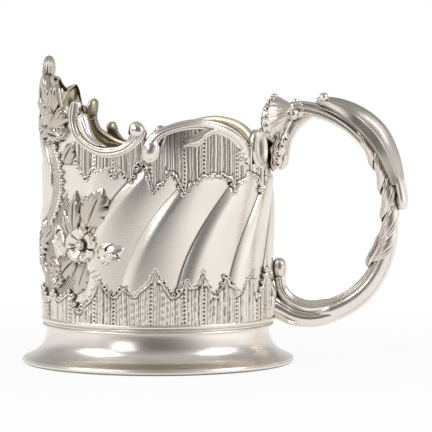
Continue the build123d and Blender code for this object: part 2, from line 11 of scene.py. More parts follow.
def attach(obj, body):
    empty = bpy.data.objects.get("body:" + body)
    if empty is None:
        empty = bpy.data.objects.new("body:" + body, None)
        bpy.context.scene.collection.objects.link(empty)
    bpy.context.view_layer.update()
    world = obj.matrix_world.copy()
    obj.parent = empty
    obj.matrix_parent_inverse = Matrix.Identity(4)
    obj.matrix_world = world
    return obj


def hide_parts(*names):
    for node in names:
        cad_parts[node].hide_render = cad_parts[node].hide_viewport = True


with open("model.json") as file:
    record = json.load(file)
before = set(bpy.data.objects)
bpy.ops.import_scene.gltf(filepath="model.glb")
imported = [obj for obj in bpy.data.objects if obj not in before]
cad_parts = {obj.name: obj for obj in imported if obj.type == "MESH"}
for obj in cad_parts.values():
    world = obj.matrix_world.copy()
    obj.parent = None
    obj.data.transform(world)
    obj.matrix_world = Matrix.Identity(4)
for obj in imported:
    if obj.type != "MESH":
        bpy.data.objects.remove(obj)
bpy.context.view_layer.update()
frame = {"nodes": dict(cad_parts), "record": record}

# Sizes in millimetres and degrees. Angles run from the cartouche (-X) toward the front (-Y).
MM = 0.001
BORE = next(m["dims"]["r_mm"] for m in frame["record"]["mounts"] if m["name"] == "glass_bore")
WALL = BORE + 1.0
SEAT_TOP, BEAD_TOP = 13.4, 15.1
# How far raised pieces reach under the face of the wall
SINK = 0.4
# The two sides of the handle's plane
SIDES = (1, -1)
# Faces turned to the axis of the well by more than this take the inside finish
INWARD = -0.4


# Shapes: grids of points, first axis along a piece and second across it, so that
# along x across points out of the metal.
def coords(*parts):
    """Points from their coordinates, spread to one shape."""
    return np.stack(np.broadcast_arrays(*parts), axis=-1).astype(float)


def on_wall(angle, height, radius):
    """Points at an angle, a height and a radius round the axis of the well."""
    turn = radians(angle)
    return coords(-radius * cos(turn), -radius * sin(turn), height)


def unit(vectors):
    """The same directions at length 1."""
    return vectors / np.linalg.norm(vectors, axis=-1, keepdims=True)


def line_through(points, count):
    """Even samples of a smooth line through points: cubic spans over chord length, their slopes taken from
    the neighbours."""
    p = np.asarray(points, float)
    d = np.r_[0, np.cumsum(np.linalg.norm(np.diff(p, axis=0), axis=1))]
    slope = np.gradient(p, d, axis=0)
    t = linspace(0, d[-1], count)
    i = clip(np.searchsorted(d, t, side="right") - 1, 0, len(d) - 2)
    h = (d[i + 1] - d[i])[:, None]
    s = (t - d[i])[:, None] / h
    return (
        (1 + 2 * s) * (1 - s) ** 2 * p[i]
        + s * (1 - s) ** 2 * h * slope[i]
        + s * s * (3 - 2 * s) * p[i + 1]
        + s * s * (s - 1) * h * slope[i + 1]
    )


def in_plane(points, count):
    """Smooth line in the handle's plane through points of x and z."""
    x, z = line_through(points, count).T
    return coords(x, 0, z)


def smooth(points, place, count=400):
    """Value at a place on a smooth line through points of place and value."""
    line = line_through(points, count)
    return interp(place, maximum.accumulate(line[:, 0]), line[:, 1])


def edge_height(points, angle):
    """Height of a shaped edge, the same on both sides."""
    return smooth(points, abs(angle), 40 * len(points))


def ease(x, low, high):
    """Smooth step from 0 at low to 1 at high."""
    s = clip((x - low) / (high - low), 0, 1)
    return s * s * (3 - 2 * s)


def bump(x, centre, width):
    """Bell of height 1 at the centre."""
    return np.exp(-(((x - centre) / width) ** 2))


def dome(x, power=1.0):
    """Half circle of height 1 over -1 to 1, made fuller by a power below 1."""
    return sqrt(clip(1 - x**2, 0, 1)) ** power


def rounded(t, power=2, least=0.0005):
    """Share of the half width along a body with two round ends, never quite nothing."""
    return sqrt(clip(1 - (2 * t - 1) ** power, least, 1))


def capped(grid):
    """The tube closed at both ends by fans to the middle of each end ring."""
    ends = grid[[0, -1]].mean(axis=1, keepdims=True) + 0 * grid[[0, -1]]
    return concatenate([ends[:1], grid, ends[1:]])


def closed(front, back):
    """A sheet and its back, which runs the other way across, as one closed loop."""
    return concatenate([front, back, front[:, :1]], axis=1)


def backed(angle, height, radius, back=WALL - SINK, ends=True):
    """A raised sheet on the wall, closed by a back at one radius between its edges, with capped ends."""
    edges = [np.broadcast_to(a, radius.shape)[:, [-1, 0]] for a in (angle, height)]
    loop = closed(on_wall(angle, height, radius), on_wall(*edges, back))
    return capped(loop) if ends else loop


def sheet_dark(dark, ends=True, columns=2):
    """Dark places of a sheet: none on the columns of its back, nor on the caps of its ends."""
    full = closed(dark, np.zeros((len(dark), columns)))
    return concatenate([0 * full[:1], full, 0 * full[:1]]) if ends else full


def mirrored(grid):
    """The same sheet on the far side of the handle's plane, with its faces still outward."""
    if isinstance(grid, tuple):
        return mirrored(grid[0]), grid[1][::-1]
    return grid[::-1] * (1, -1, 1)


def revolved(profile, count=288):
    """A closed profile of radius and height turned round the axis. It runs up outside and down inside."""
    ring = concatenate([profile, profile[:1]])
    angle = linspace(0, 360, count + 1)[:, None]
    return on_wall(angle, ring[None, :, 1], ring[None, :, 0])


def swept(path, outward, wide, deep, dents, count=64):
    """An oval section carried along a path, drawn in by the dents, a share at each angle of the section and
    share along. Its half widths to the side and half depths outward are given for each point, or by shares."""
    tangent = unit(np.gradient(path, axis=0))
    outward = np.asarray(outward, float)
    normal = unit(outward - (outward * tangent).sum(1, keepdims=True) * tangent)
    side = np.cross(tangent, normal)
    t = linspace(0, 1, len(path))
    s = linspace(0, 2 * pi, count + 1)[None]
    shape = 1 - dents(s, t[:, None])
    wide, deep = (interp(t, *half) if isinstance(half, tuple) else half for half in (wide, deep))
    to_side = (wide[:, None] * cos(s) * shape)[..., None]
    to_out = (deep[:, None] * sin(s) * shape)[..., None]
    return capped(path[:, None] + to_side * side[:, None] + to_out * normal[:, None])


def notches(*places, deep=0.13, wide=0.09):
    """Dents of a section: narrow grooves at angles, the same on both sides. A pair of angles is a groove that
    winds from one to the other."""
    def dents(s, t):
        total = 0 * s + 0 * t
        for place in places:
            start, end = place if isinstance(place, tuple) else (place, place)
            at = radians(start + (end - start) * t)
            for line in (at, pi - at):
                total = total + deep * bump((s - line + pi) % (2 * pi) - pi, 0, wide)
        return total
    return dents


def turned(angle, height, lean, x, y, radius=WALL):
    """Angle and height of a flat sheet's points laid on the wall: leant, then bent round it."""
    a = radians(lean)
    return angle + np.degrees((x * cos(a) - y * sin(a)) / radius), height + x * sin(a) + y * cos(a)


def polar(rows, columns):
    """Shares from the middle to the edge, and angles round, as a grid."""
    return np.meshgrid(linspace(0, 1, rows), linspace(0, 2 * pi, columns + 1), indexing="ij")


def disc_on_wall(angle, height, lean, wide, tall, rise, base=WALL, sink=SINK):
    """A raised oval sheet by its half sizes and the polar grid of its rise, closed by a flat back."""
    q, a = polar(len(rise), rise.shape[1] - 1)
    phi, z = turned(angle, height, lean, wide * q * cos(a), tall * q * sin(a), base)
    top = on_wall(phi, z, base + rise)
    rim = on_wall(phi[-1:], z[-1:], np.full_like(rise[-1:], base - sink))
    foot = on_wall(angle, height, base - sink) + 0 * rim
    return concatenate([top, rim, foot])


def disc_dark(dark):
    """Dark places of a disc on the wall: none on its back."""
    return concatenate([dark, 0 * dark[:2]])


def studs(centres, normals, size):
    """Pierced loops: round wires about a hole shown by a dent with painted shade, facing along their normals, with
    a flat back.
    """
    q, a = polar(5, 8)
    lift = size * (0.95 * bump(q, 0.64, 0.27) - 0.4)
    # Painted shade stands in for the hole in the middle; the wire itself is a little darker all round
    dark = disc_dark(maximum(ease(-q, -0.42, -0.24), 0.22))
    lift = np.r_[lift, 0 * lift[-2:] - 0.9 * size][..., None]
    q, a = np.r_[q, q[-1:], 0 * q[-1:]][..., None] * size, np.r_[a, a[-2:]][..., None]
    first = unit(np.cross((0, 0, 1.0), normals))
    second = np.cross(normals, first)
    return [
        (c + q * (cos(a) * e + sin(a) * f) + lift * n, dark)
        for c, n, e, f in zip(centres, normals, first, second)
    ]


def wall_studs(places, size, lift=1.3):
    """Pierced loops on the wall at angles and heights."""
    angle, height = np.asarray(places, float).T
    return studs(on_wall(angle, height, WALL + lift), on_wall(angle, 0.0 * angle, 1.0), size)


def leaf(angle, height, lean, length, width, rise, teeth=0, base=WALL):
    """A leaf on the wall: its half width is a sine of the share along it, cut into saw teeth farther out, and
    it is a cup with a groove down its middle and slanting veins."""
    t = linspace(0, 1, 48)[:, None]
    s = linspace(1, -1, 23)[None]
    edge, veins = 1, 0.03 * cos(9 * s) ** 2
    if teeth:
        late = ease(t, 0.25, 0.5)
        edge = 1 + 0.5 * ((teeth * t) % 1 - 0.45) * late * abs(s) ** 5
        veins = 0.1 * bump((teeth * t - 0.8 * abs(s)) % 1, 0.5, 0.14) * late * abs(s)
    half = width / 2 * clip(sin(pi * t**0.7), 0.03, 1) ** 0.8 * edge
    crown = rise * dome(s, 0.7) * sin(pi * clip(t, 0.02, 0.98)) ** 0.35
    groove = 0.26 * bump(s, 0, 0.16) * ease(1 - t, 0.05, 0.4)
    phi, z = turned(angle, height, lean, s * half, (t - 0.5) * length, base)
    return backed(phi, z, base + crown * (1 - groove - veins), base - SINK)


def tongue(angle, height, lean, length, width, rise, flutes=3, base=WALL):
    """A tongue on the wall, fluted along it, that widens from its root to a round end and swells to it."""
    t = linspace(0, 1, 44)[:, None]
    s = linspace(1, -1, 29)[None]
    end = clip((t - 0.72) / 0.28, 0, 1)
    half = width / 2 * (0.45 + 0.55 * ease(t, 0, 0.6)) * sqrt(clip(1 - end**2, 0.002, 1))
    swell = clip(sin(pi * clip(t, 0.02, 1) ** 2.2), 0, 1)
    cuts = 0.42 * abs(cos(pi * flutes * (s + 1) / 2)) ** 5 * ease(t, 0.0, 0.3)
    lift = rise * dome(s, 0.6) * sqrt(swell) ** 0.7 * (1 - cuts)
    return backed(*turned(angle, height, lean, s * half, (t - 0.5) * length, base), base + lift, base - SINK)


def volute(angle, height, size, rise, turn=0.0, side=1):
    """A round scroll end on the wall: a dome cut by a spiral groove that tightens to its eye."""
    coils = 2.2
    q, a = polar(26, 60)
    coil = (coils * q - side * (a - turn) / (2 * pi)) % 1
    groove = bump(coil, 0.5, 0.13) * ease(q, 0.1, 0.25) * ease(-q, -0.95, -0.8)
    lift = rise * dome(q**2) * (0.82 + 0.18 * bump(q, 0, 0.25) - 0.3 * groove)
    return disc_on_wall(angle, height, 0, size, size, lift)


def band(lower, upper, relief, ridges, count=90, across=34, cut=0.0, ends=(0.2, 0.3), sharp=4):
    """A moulding on the wall between two edge lines of angle and height: a dome across, cut by lengthwise
    grooves, dying away at its ends."""
    low, high = line_through(lower, count), line_through(upper, count)
    s = linspace(0, 1, across)
    flat = low[:, None] * (1 - s)[None, :, None] + high[:, None] * s[None, :, None]
    t = linspace(0, 1, count)[:, None]
    fade = sqrt(ease(t, 0, ends[0]) * ease(1 - t, 0, ends[1]))
    top = dome(2 * s - 1, 0.8)
    lines = 1 - cut * abs(sin(pi * ridges * s)) ** sharp * ease(top, 0.2, 0.7)
    lift = interp(t, linspace(0, 1, len(relief)), relief)
    return backed(flat[..., 0], flat[..., 1], WALL + fade * lift * top * lines)


# Objects
def blurred(field, size, axis):
    """Running mean over a window of points each way."""
    rows, window = field.swapaxes(0, axis), 2 * size + 1
    total = np.cumsum(concatenate([rows[:1]] * (size + 1) + [rows] + [rows[-1:]] * size), axis=0)
    return ((total[window:] - total[:-window]) / window).swapaxes(0, axis)


def hollow(grid, reach, depth):
    """How far each point lies under the mean of its surroundings, along the outward normal."""
    normal = np.cross(*np.gradient(grid, axis=(0, 1)))
    normal /= maximum(np.linalg.norm(normal, axis=-1, keepdims=True), 1e-9)
    mean = grid
    for axis in (0, 1):
        step = np.linalg.norm(np.diff(grid, axis=axis), axis=-1)
        step = step[step > 1e-6].mean()
        size = int(clip(round(reach / step), 1, grid.shape[axis] // 4))
        mean = blurred(mean, size, axis)
    return clip(((mean - grid) * normal).sum(-1) / depth, -1, 1)


def grid_faces(rows, columns, start):
    """Corner numbers of the quads between neighbours of a grid."""
    i = np.arange(rows * columns).reshape(rows, columns) + start
    return np.stack([i[:-1, :-1], i[1:, :-1], i[1:, 1:], i[:-1, 1:]], axis=-1).reshape(-1, 4)


def placed(name, data):
    """A new object of the scene."""
    made = bpy.data.objects.new(name, data)
    bpy.context.scene.collection.objects.link(made)
    return made


def line_inside(mesh, finish):
    """Gives the faces that look at the axis of the well a second finish."""
    mesh.materials.append(finish)
    for face in mesh.polygons:
        face.material_index = int(face.normal.xy.dot(face.center.xy.normalized()) < INWARD)


def piece(name, grids, finish, *nodes, reach=0.7, depth=0.16, inside=None):
    """One object of point grids in millimetres, in place of the CAD nodes or the node of its name. Doubles
    are merged and the hollows kept per point; a grid may bring its own dark places."""
    grids = [g if isinstance(g, tuple) else (g, 0.0 * g[..., 0]) for g in grids]
    starts = np.cumsum([0] + [g.shape[0] * g.shape[1] for g, _ in grids])
    points = concatenate([g.reshape(-1, 3) for g, _ in grids]) * MM
    faces = concatenate([grid_faces(*g.shape[:2], s) for (g, _), s in zip(grids, starts)])
    deep = concatenate([maximum(hollow(g, reach, depth), d).ravel() for g, d in grids])
    mesh = bpy.data.meshes.new(f"{name}_look")
    mesh.from_pydata(points.tolist(), [], faces.tolist())
    # The hollow attribute carries tarnish and painted shade to the finish
    mesh.attributes.new("hollow", "FLOAT", "POINT").data.foreach_set("value", deep.astype(np.float32))
    shell = bmesh.new()
    shell.from_mesh(mesh)
    bmesh.ops.remove_doubles(shell, verts=shell.verts, dist=0.002 * MM)
    bmesh.ops.dissolve_degenerate(shell, edges=shell.edges, dist=0.001 * MM)
    shell.to_mesh(mesh)
    shell.free()
    mesh.polygons.foreach_set("use_smooth", np.ones(len(mesh.polygons), bool))
    mesh.materials.append(finish)
    if inside:
        line_inside(mesh, inside)
    mesh.update()
    made = placed(f"{name}_look", mesh)
    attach(made, "root")
    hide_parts(*(nodes or (name,)))


def pair(name, grids, finish, far_grids=None, **settings):
    """The front piece and the one at the back, which is its mirror image unless it has its own grids."""
    piece(f"{name}_front", grids, finish, **settings)
    piece(f"{name}_back", [mirrored(g) for g in far_grids or grids], finish, **settings)


# Finishes
def colour(code):
    """An sRGB hex colour as linear RGBA."""
    s = np.array([int(code[i : i + 2], 16) for i in (1, 3, 5)]) / 255
    return (*np.where(s <= 0.04045, s / 12.92, ((s + 0.055) / 1.055) ** 2.4).tolist(), 1.0)


def node(tree, kind, inputs=None, **settings):
    """Adds a shader node, sets its fields, sets or links each named socket, and gives its outputs."""
    made = tree.nodes.new("ShaderNode" + kind)
    for field, value in settings.items():
        setattr(made, field, value)
    for socket, value in (inputs or {}).items():
        if isinstance(value, bpy.types.NodeSocket):
            tree.links.new(value, made.inputs[socket])
        else:
            made.inputs[socket].default_value = value
    return made.outputs


def ramp(tree, value, low, high, start=0.0, end=1.0, kind="LINEAR"):
    """A value carried from one range to another and held at its ends."""
    ends = {"From Min": low, "From Max": high, "To Min": start, "To Max": end}
    return node(tree, "MapRange", {"Value": value, **ends}, interpolation_type=kind)["Result"]


def reckon(tree, operation, *values):
    """The outcome of one operation on sockets and constants."""
    return node(tree, "Math", dict(enumerate(values)), operation=operation)[0]


def blend(tree, share, first, second):
    """Two colours mixed by a share."""
    return node(tree, "Mix", {0: share, 6: first, 7: second}, data_type="RGBA")[2]


# Width of the warm patches, and how far the painted crevice shade reaches, in millimetres
PATCH, CREVICE_SHADE_REACH = 11, 2.2
RECESS_ROUGHNESS = 0.55


def metal(name, bright, warm, recess, roughness, brush_mm, scratch=0.12):
    """A worked precious metal: brushing lines by their sizes in millimetres give its sheen, warm patches its
    handling; hollows and dark places are dark and dull with tarnish and painted shade, and painted shade darkens
    crevices."""
    made = bpy.data.materials.new(name)
    made.use_nodes = True
    tree = made.node_tree
    shader = tree.nodes["Principled BSDF"]
    place = node(tree, "TexCoord")["Object"]
    scale = [1 / (mm * MM) for mm in brush_mm]
    lines = node(tree, "Mapping", {"Vector": place, "Scale": scale})["Vector"]
    brush = node(tree, "TexNoise", {"Vector": lines, "Scale": 1.0, "Detail": 3.0})["Fac"]
    patch = node(tree, "TexNoise", {"Vector": place, "Scale": 1 / (PATCH * MM), "Detail": 4.0})
    deep = node(tree, "Attribute", attribute_name="hollow")["Fac"]
    # Painted shade: ambient occlusion darkens crevices and the joins between pieces
    crevice = node(tree, "AmbientOcclusion", {"Distance": CREVICE_SHADE_REACH * MM}, samples=8)["AO"]
    hollow_tarnish_and_shade = ramp(tree, deep, 0.08, 0.95, kind="SMOOTHSTEP")
    painted_crevice_shade = ramp(tree, crevice, 0.12, 0.62, 0.85, 0.0, kind="SMOOTHSTEP")
    # The dark share: tarnish and painted shade from the hollows, and the painted crevice shade
    dark = reckon(tree, "MAXIMUM", hollow_tarnish_and_shade, painted_crevice_shade)
    clean = blend(tree, patch["Fac"], colour(bright), colour(warm))
    dull = ramp(tree, dark, 0.0, 1.0, roughness, RECESS_ROUGHNESS)
    ridge = node(tree, "Bump", {"Height": brush, "Strength": scratch, "Distance": 0.05 * MM})
    tree.links.new(blend(tree, dark, clean, colour(recess)), shader.inputs["Base Color"])
    tree.links.new(reckon(tree, "MULTIPLY_ADD", brush, 0.14, dull), shader.inputs["Roughness"])
    tree.links.new(ridge["Normal"], shader.inputs["Normal"])
    shader.inputs["Metallic"].default_value = 1.0
    return made


# Cast and punched relief, polished on its high parts, black in its hollows
chased_silver = metal("chased_silver", "#f4eee6", "#e2d8cc", "#211d1b", 0.14, (0.5, 0.5, 0.9))
# Crowded relief that polishing hardly reaches, greyer than the rest
oxidised_silver = metal("oxidised_silver", "#dad2c8", "#bfb4a7", "#191613", 0.18, (0.5, 0.5, 0.9))
# Cast and rubbed smooth, as scrolls and handle are
handled_silver = metal("handled_silver", "#f4efe8", "#e6dcd1", "#24201d", 0.14, (2.5, 0.8, 2.5), 0.06)
# Hammered lobes, brushed level round the wall, so they show soft level streaks
raised_silver = metal("raised_silver", "#f5f0e9", "#e9dfd3", "#3d3732", 0.22, (6.0, 6.0, 0.35), 0.2)
# The foot, turned on a lathe and polished, with fine level lines
spun_silver = metal("spun_silver", "#f3eee7", "#e6ddd2", "#3a3531", 0.18, (20.0, 20.0, 0.25))
# The thumb leaf, rubbed along its length, its colour darkened as painted shade of its up-facing top, with a broad
# dull sheen
shade_darkened_silver = metal("shade_darkened_silver", "#d0cac2", "#b2aaa0", "#2c2825", 0.3, (1.6, 0.5, 1.6), 0.3)
# Thin gold on the inside of the well, mottled, its colour darkened as painted shade of the deep well, browned in
# its corners with tarnish and painted shade
shade_darkened_gilt = metal("shade_darkened_gilt", "#b09c72", "#7c6c50", "#2a2115", 0.3, (4.0, 4.0, 0.6))
# The same gold inside the rim's ornament, rubbed thin and browned
worn_gilt = metal("worn_gilt", "#d6cbb6", "#ab9f8a", "#2a241c", 0.32, (4.0, 4.0, 0.6))


# Foot, turned on the lathe, by radius and height
FLARE = (
    (42.4, 1.9), (40.6, 2.7), (39, 3.6), (37.8, 4.6), (36.8, 5.7), (36.1, 7), (35.6, 8.6),
    (35.2, 10.6), (35.1, 12.7),
)
FLARE_WALL = (-0.9, -0.25)
COLLAR_LOW = 12.35


def oval(radius, height, wide, tall, turn):
    """Radius and height of points on an oval about a middle, by its half sizes, at turns in degrees."""
    a = radians(turn)
    return coords(radius + wide * cos(a), height + tall * sin(a))


def foot_pieces():
    """Foot flare, its rim wire with a fine groove, the neck wire and the bead over the joint."""
    flare = line_through(FLARE, 60)
    turn = linspace(-90, 270, 40, endpoint=False)
    wire = oval(41.9, 1.0, 1.29, 1.0, turn)
    wire[:, 0] -= 0.22 * bump(wire[:, 1], 1.5, 0.14) * (cos(radians(turn)) > 0)
    bead = oval(36.0, 14.2, 1.05, 0.86, linspace(-86, 80, 30))
    outside, inside = [(36.2, COLLAR_LOW), (36.25, 13.25)], [(35.0, BEAD_TOP), (35.0, COLLAR_LOW)]
    for name, profile, *cad in (
        ("foot_flare", concatenate([flare, flare[::-1] + FLARE_WALL])),
        ("foot_rim", wire, "foot_rim_wire"),
        ("neck_wire", oval(36.2, 12.2, 0.55, 0.45, turn)),
        ("joint_bead", concatenate([outside, bead, inside])),
    ):
        piece(name, [revolved(profile)], spun_silver, *cad)


# Wall: its cut rim, by angle and height
RIM_LINE = (
    (0, 73), (34, 74), (42, 77.2), (46.5, 78.2), (47.6, 77), (49, 75.2), (50.5, 73.4), (53.5, 71),
    (57, 69.4), (64, 67.6), (72, 66.9), (79, 68), (84, 70.2), (87, 72), (91, 71.5), (95, 71), (99, 73),
    (104, 74.8), (110, 75.9), (116, 76.3), (124, 75.4), (132, 73.5), (138, 71.2), (143, 69.3), (147, 69),
    (152, 71.5), (158, 72), (180, 72),
)
LOBES = 13
LOBE_RELIEF, LOBE_ROOT = 1.35, 0.12
# Share of a lobe's width from its crease to its crest
LOBE_CREST = 0.27
LOBE_LOW, LOBE_HIGH = 17.0, 63.5
# Angle of a crease at the datum height, and its lean and curl in degrees above it
LOBE_TURN, LOBE_DATUM = 77.6, 26.0
LOBE_LEAN, LOBE_CURL = 0.32, 0.0195
# The lobes die away here, toward the cartouche
FIELD_EDGE = 57.0


def rim_height(angle):
    """Height of the wall's cut rim at angles from the cartouche."""
    return interp(angle, *np.asarray(RIM_LINE, float).T)


def sleeve_piece():
    """The thin sleeve cut to the rim line, gilt inside. Its far dip follows the arm of the far scroll."""
    angle = linspace(-180, 180, 721)[:, None]
    far_arm = (angle < 0) * ease(-angle, 38, 41) * ease(angle, -62, -54)
    top = rim_height(abs(angle) + ARM_SHIFT * far_arm)
    share = np.r_[0, linspace(0.004, 0.996, 28), 1][None]
    height = SEAT_TOP + (top - SEAT_TOP) * share
    sheet = closed(on_wall(angle, height, WALL - 0.05), on_wall(angle, height[:, ::-1], BORE))
    piece("wall_sleeve", [sheet], raised_silver, inside=shade_darkened_gilt)


def lobes_piece():
    """Lobes that climb round the wall, each rising steeply as a sine from its crease to a crest and falling
    slowly as a cosine to the next, flat beside the cartouche and under the fringes."""
    across = linspace(0, LOBES, LOBES * 52 + 1)[:, None]
    z = linspace(LOBE_LOW, LOBE_HIGH, 84)[None]
    climb = z - LOBE_DATUM
    phi = LOBE_TURN + LOBE_LEAN * climb + LOBE_CURL * climb**2 + across * 360 / LOBES
    phi = (phi + 180) % 360 - 180
    part = across % 1
    up = clip(part / LOBE_CREST, 0, 1)
    down = clip((part - LOBE_CREST) / (1 - LOBE_CREST), 0, 1)
    rise = np.where(up < 1, sin(pi / 2 * up) ** 0.85, cos(pi / 2 * down) ** 0.9)
    rise = rise * ease(abs(phi), FIELD_EDGE - 3, FIELD_EDGE + 6)
    for edge, sign in ((LOWER_EDGE, 1), (UPPER_EDGE, -1)):
        rise = rise * ease(sign * (z - edge_height(edge, phi)), -1.6, 0.3)
    rows = linspace(z.shape[1] - 1, 0, 22).astype(int)
    front = on_wall(phi, z, WALL + LOBE_ROOT + LOBE_RELIEF * rise)
    back = on_wall(phi[:, rows], z[:, rows], WALL - 0.3)
    piece("lobes", [closed(front, back)], raised_silver, "wall_sleeve", reach=1.2, depth=0.3)


# Fringes: one run of ribs, which repeats round the wall, and the scalloped edges by angle and height
RIB_WIDTHS = (
    1.3, 0.8, 1.7, 1, 0.7, 2.1, 1.1, 1.5, 0.7, 0.9, 2.2, 1.2, 0.8, 1.6, 0.7, 1.9, 1, 0.9, 1.4, 0.8,
    1.7, 1.1, 0.7,
)
RIB_TOPS = (1.0, 0.55, 0.85, 0.6, 0.9, 0.75, 0.5, 1.0, 0.65, 0.9, 0.8, 0.45, 0.95, 0.7)
DOTTED_RIBS = (2, 10, 15)
DOT_PITCH = 1.25
FRINGE_BASE, FRINGE_RELIEF = 0.75, 0.65
LOWER_EDGE = (
    (0, 21.5), (6, 24), (12, 21), (18, 23.5), (25, 20.6), (33, 23.2), (38, 21.3), (43, 22.7), (47.5, 23.9),
    (50.5, 20.9), (54, 18.3), (57.5, 20.6), (60.5, 22.2), (63.5, 25.3), (66.4, 28.5), (69, 26.4),
    (71.7, 24.6), (74.3, 23.5), (76.8, 25), (79.3, 26.3), (81.8, 25.1), (84.2, 23.9), (87, 25.5),
    (90.8, 27.6), (92.7, 29.2), (94.6, 31.6), (96.5, 29.2), (98.3, 27.9), (100.7, 25.5), (103.1, 23.7),
    (105.4, 24.6), (107.3, 26.4), (109.3, 28.5), (111.7, 26.6), (114.7, 27.2), (116.2, 29), (117.7, 31.7),
    (119.2, 28.6), (121.3, 26.7), (122.9, 24), (125.1, 23.6), (127.3, 26), (129, 27.2), (130.7, 29.3),
    (133.7, 27), (136.2, 26), (138.2, 23.8), (140.9, 24.9), (143.8, 27.6), (146, 28.7), (149.3, 30.5),
    (151, 26.7), (153.7, 22.5), (157.8, 25.1), (161.4, 28.4), (165.6, 30.7), (172, 28), (180, 26),
)
UPPER_EDGE = (
    (52.5, 64.9), (55.8, 61.3), (59.5, 59.5), (63, 62), (67.5, 61.5), (71.7, 62.1), (74.8, 59.7),
    (77.8, 61.6), (80.8, 59.8), (83.2, 59.2), (85.6, 63.4), (88, 64.4), (90.4, 61.5), (91.6, 59),
    (94.1, 55.3), (96.5, 57.2), (98.5, 58), (100.5, 60.8), (102.5, 60.9), (104.5, 59.5), (106.5, 57),
    (109.3, 54.4), (112, 57.3), (115.7, 58.3), (118, 59.9), (120.8, 59.7), (123.5, 60.4), (126.2, 59.6),
    (128.5, 60.4), (130.7, 59.6), (133.5, 59), (136.2, 54.9), (139, 57.5), (142.3, 58.6), (145.5, 60.6),
    (148.4, 60.2), (152, 59.5), (154.7, 58.2), (157.5, 55), (160, 55.8), (162, 59),
)
LOWER_LOOPS, UPPER_LOOPS = 76, 52


def ribs(angle, height):
    """Relief and dark places of the upright ribs: bars of uneven width and height that sway a little, round or
    flat with engraved lines, with painted shade between them, and punched dots down a few, dark with tarnish and
    painted shade."""
    ends = np.cumsum((0,) + RIB_WIDTHS)
    sway = 0.09 * sin(0.42 * height + 0.21 * angle) + 0.04 * sin(1.3 * height + 0.9 * angle)
    place = (radians(angle + 720) * WALL + sway) % ends[-1]
    k = clip(np.searchsorted(ends, place, side="right") - 1, 0, len(RIB_WIDTHS) - 1)
    wide = np.asarray(RIB_WIDTHS)[k]
    tops = np.asarray(RIB_TOPS)[k % len(RIB_TOPS)]
    s = (place - ends[k]) / wide
    is_round = k % 3 == 1
    edge = clip(1 - abs(2 * s - 1) ** np.where(is_round, 2.2, 5.0), 0, 1)
    lines = np.where(is_round, 0, 0.2 * abs(sin(pi * s * np.round(wide / 0.6))) ** 6)
    worn = 0.04 * sin(2.1 * height + 1.7 * k) * sin(0.9 * height + 2.9 * k)
    # Punched dots: dents darkened with tarnish and painted shade
    dots = bump((s - 0.5) * wide, 0, 0.46) * bump((height + 0.37 * k) % DOT_PITCH, DOT_PITCH / 2, 0.36)
    dots = dots * np.isin(k, DOTTED_RIBS)
    # Painted shade in the grooves between the ribs, weaker beside every fourth
    gap_shade = np.where(k % 4 == 1, 0.25, 0.72) * bump(np.minimum(s, 1 - s) * wide, 0, 0.12)
    return edge * (tops - lines + worn) - 0.8 * dots, maximum(dots, gap_shade)


def fringe_sheet(angle, low, high, rows, edge_at_top):
    """Heights, radii and dark places of a ribbed sheet between two lines, with a wire along its edge and a painted
    shadow line beside the wire.
    """
    height = low + (high - low) * linspace(0, 1, rows)[None]
    line = high if edge_at_top else low
    slope = np.gradient(line[:, 0]) / (np.gradient(angle[:, 0]) * radians(WALL))
    off = abs(height - line) / sqrt(1 + slope**2)[:, None]
    bars, dots = ribs(angle, height)
    lift = bars * ease(off, 0.5, 1.0) + 1.25 * bump(off, 0.38, 0.3)
    # Painted shadow in a line just inside the edge wire
    dark = maximum(dots * ease(off, 0.4, 0.8), 0.8 * bump(off, 0.95, 0.22))
    return height, WALL + (FRINGE_BASE + FRINGE_RELIEF * lift) * ease(off, -0.12, 0.22), dark


def lace(edge, count, side, shift):
    """Pierced loops at an even pitch along a scalloped edge, moved off it by a shift, every third larger."""
    angle, height = line_through(edge, count).T
    places = coords(side * angle, height + shift)
    large = np.arange(count) % 3 == 0
    return wall_studs(places[large], 1.0) + wall_studs(places[~large], 0.72)


def lower_fringe_piece():
    """The lower fringe all round, its edge the same on both sides of the handle."""
    angle = linspace(-180, 180, 1501)[:, None]
    top = edge_height(LOWER_EDGE, angle)
    height, radius, dark = fringe_sheet(angle, np.full_like(top, BEAD_TOP - 0.3), top, 42, True)
    radius[-1] = radius[0]
    sheet = backed(angle, height, radius, ends=False), sheet_dark(dark, False)
    loops = [loop for side in SIDES for loop in lace(LOWER_EDGE, LOWER_LOOPS, side, 0.35)]
    piece("lower_fringe", [sheet] + loops, chased_silver, reach=0.5, depth=0.55)


def upper_fringe_pieces():
    """The upper fringes: paler under the C-scroll, with painted shade under the arch's left half, cut off below
    the petal.
    """
    angle = linspace(UPPER_EDGE[0][0], UPPER_EDGE[-1][0], 620)[:, None]
    low = edge_height(UPPER_EDGE, angle)
    high = np.minimum(rim_height(angle) - 0.4, 75.5 - 12.0 * ease(angle, 146, 149))
    height, radius, dark = fringe_sheet(angle, low, maximum(high, low + 1.5), 66, False)
    # Painted shade under the left half of the arch
    shade = 0.6 * ease(angle, 95, 100) * ease(-angle, -120, -108) * ease(height, 60, 72)
    dark = maximum(dark * (1 - 0.5 * ease(-angle, -92, -86)), shade)
    sheet = backed(angle, height, radius), sheet_dark(dark)
    loops = lace(UPPER_EDGE, UPPER_LOOPS, 1, -0.4)
    pair("upper_fringe", [sheet] + loops, chased_silver, reach=0.5, depth=0.45)


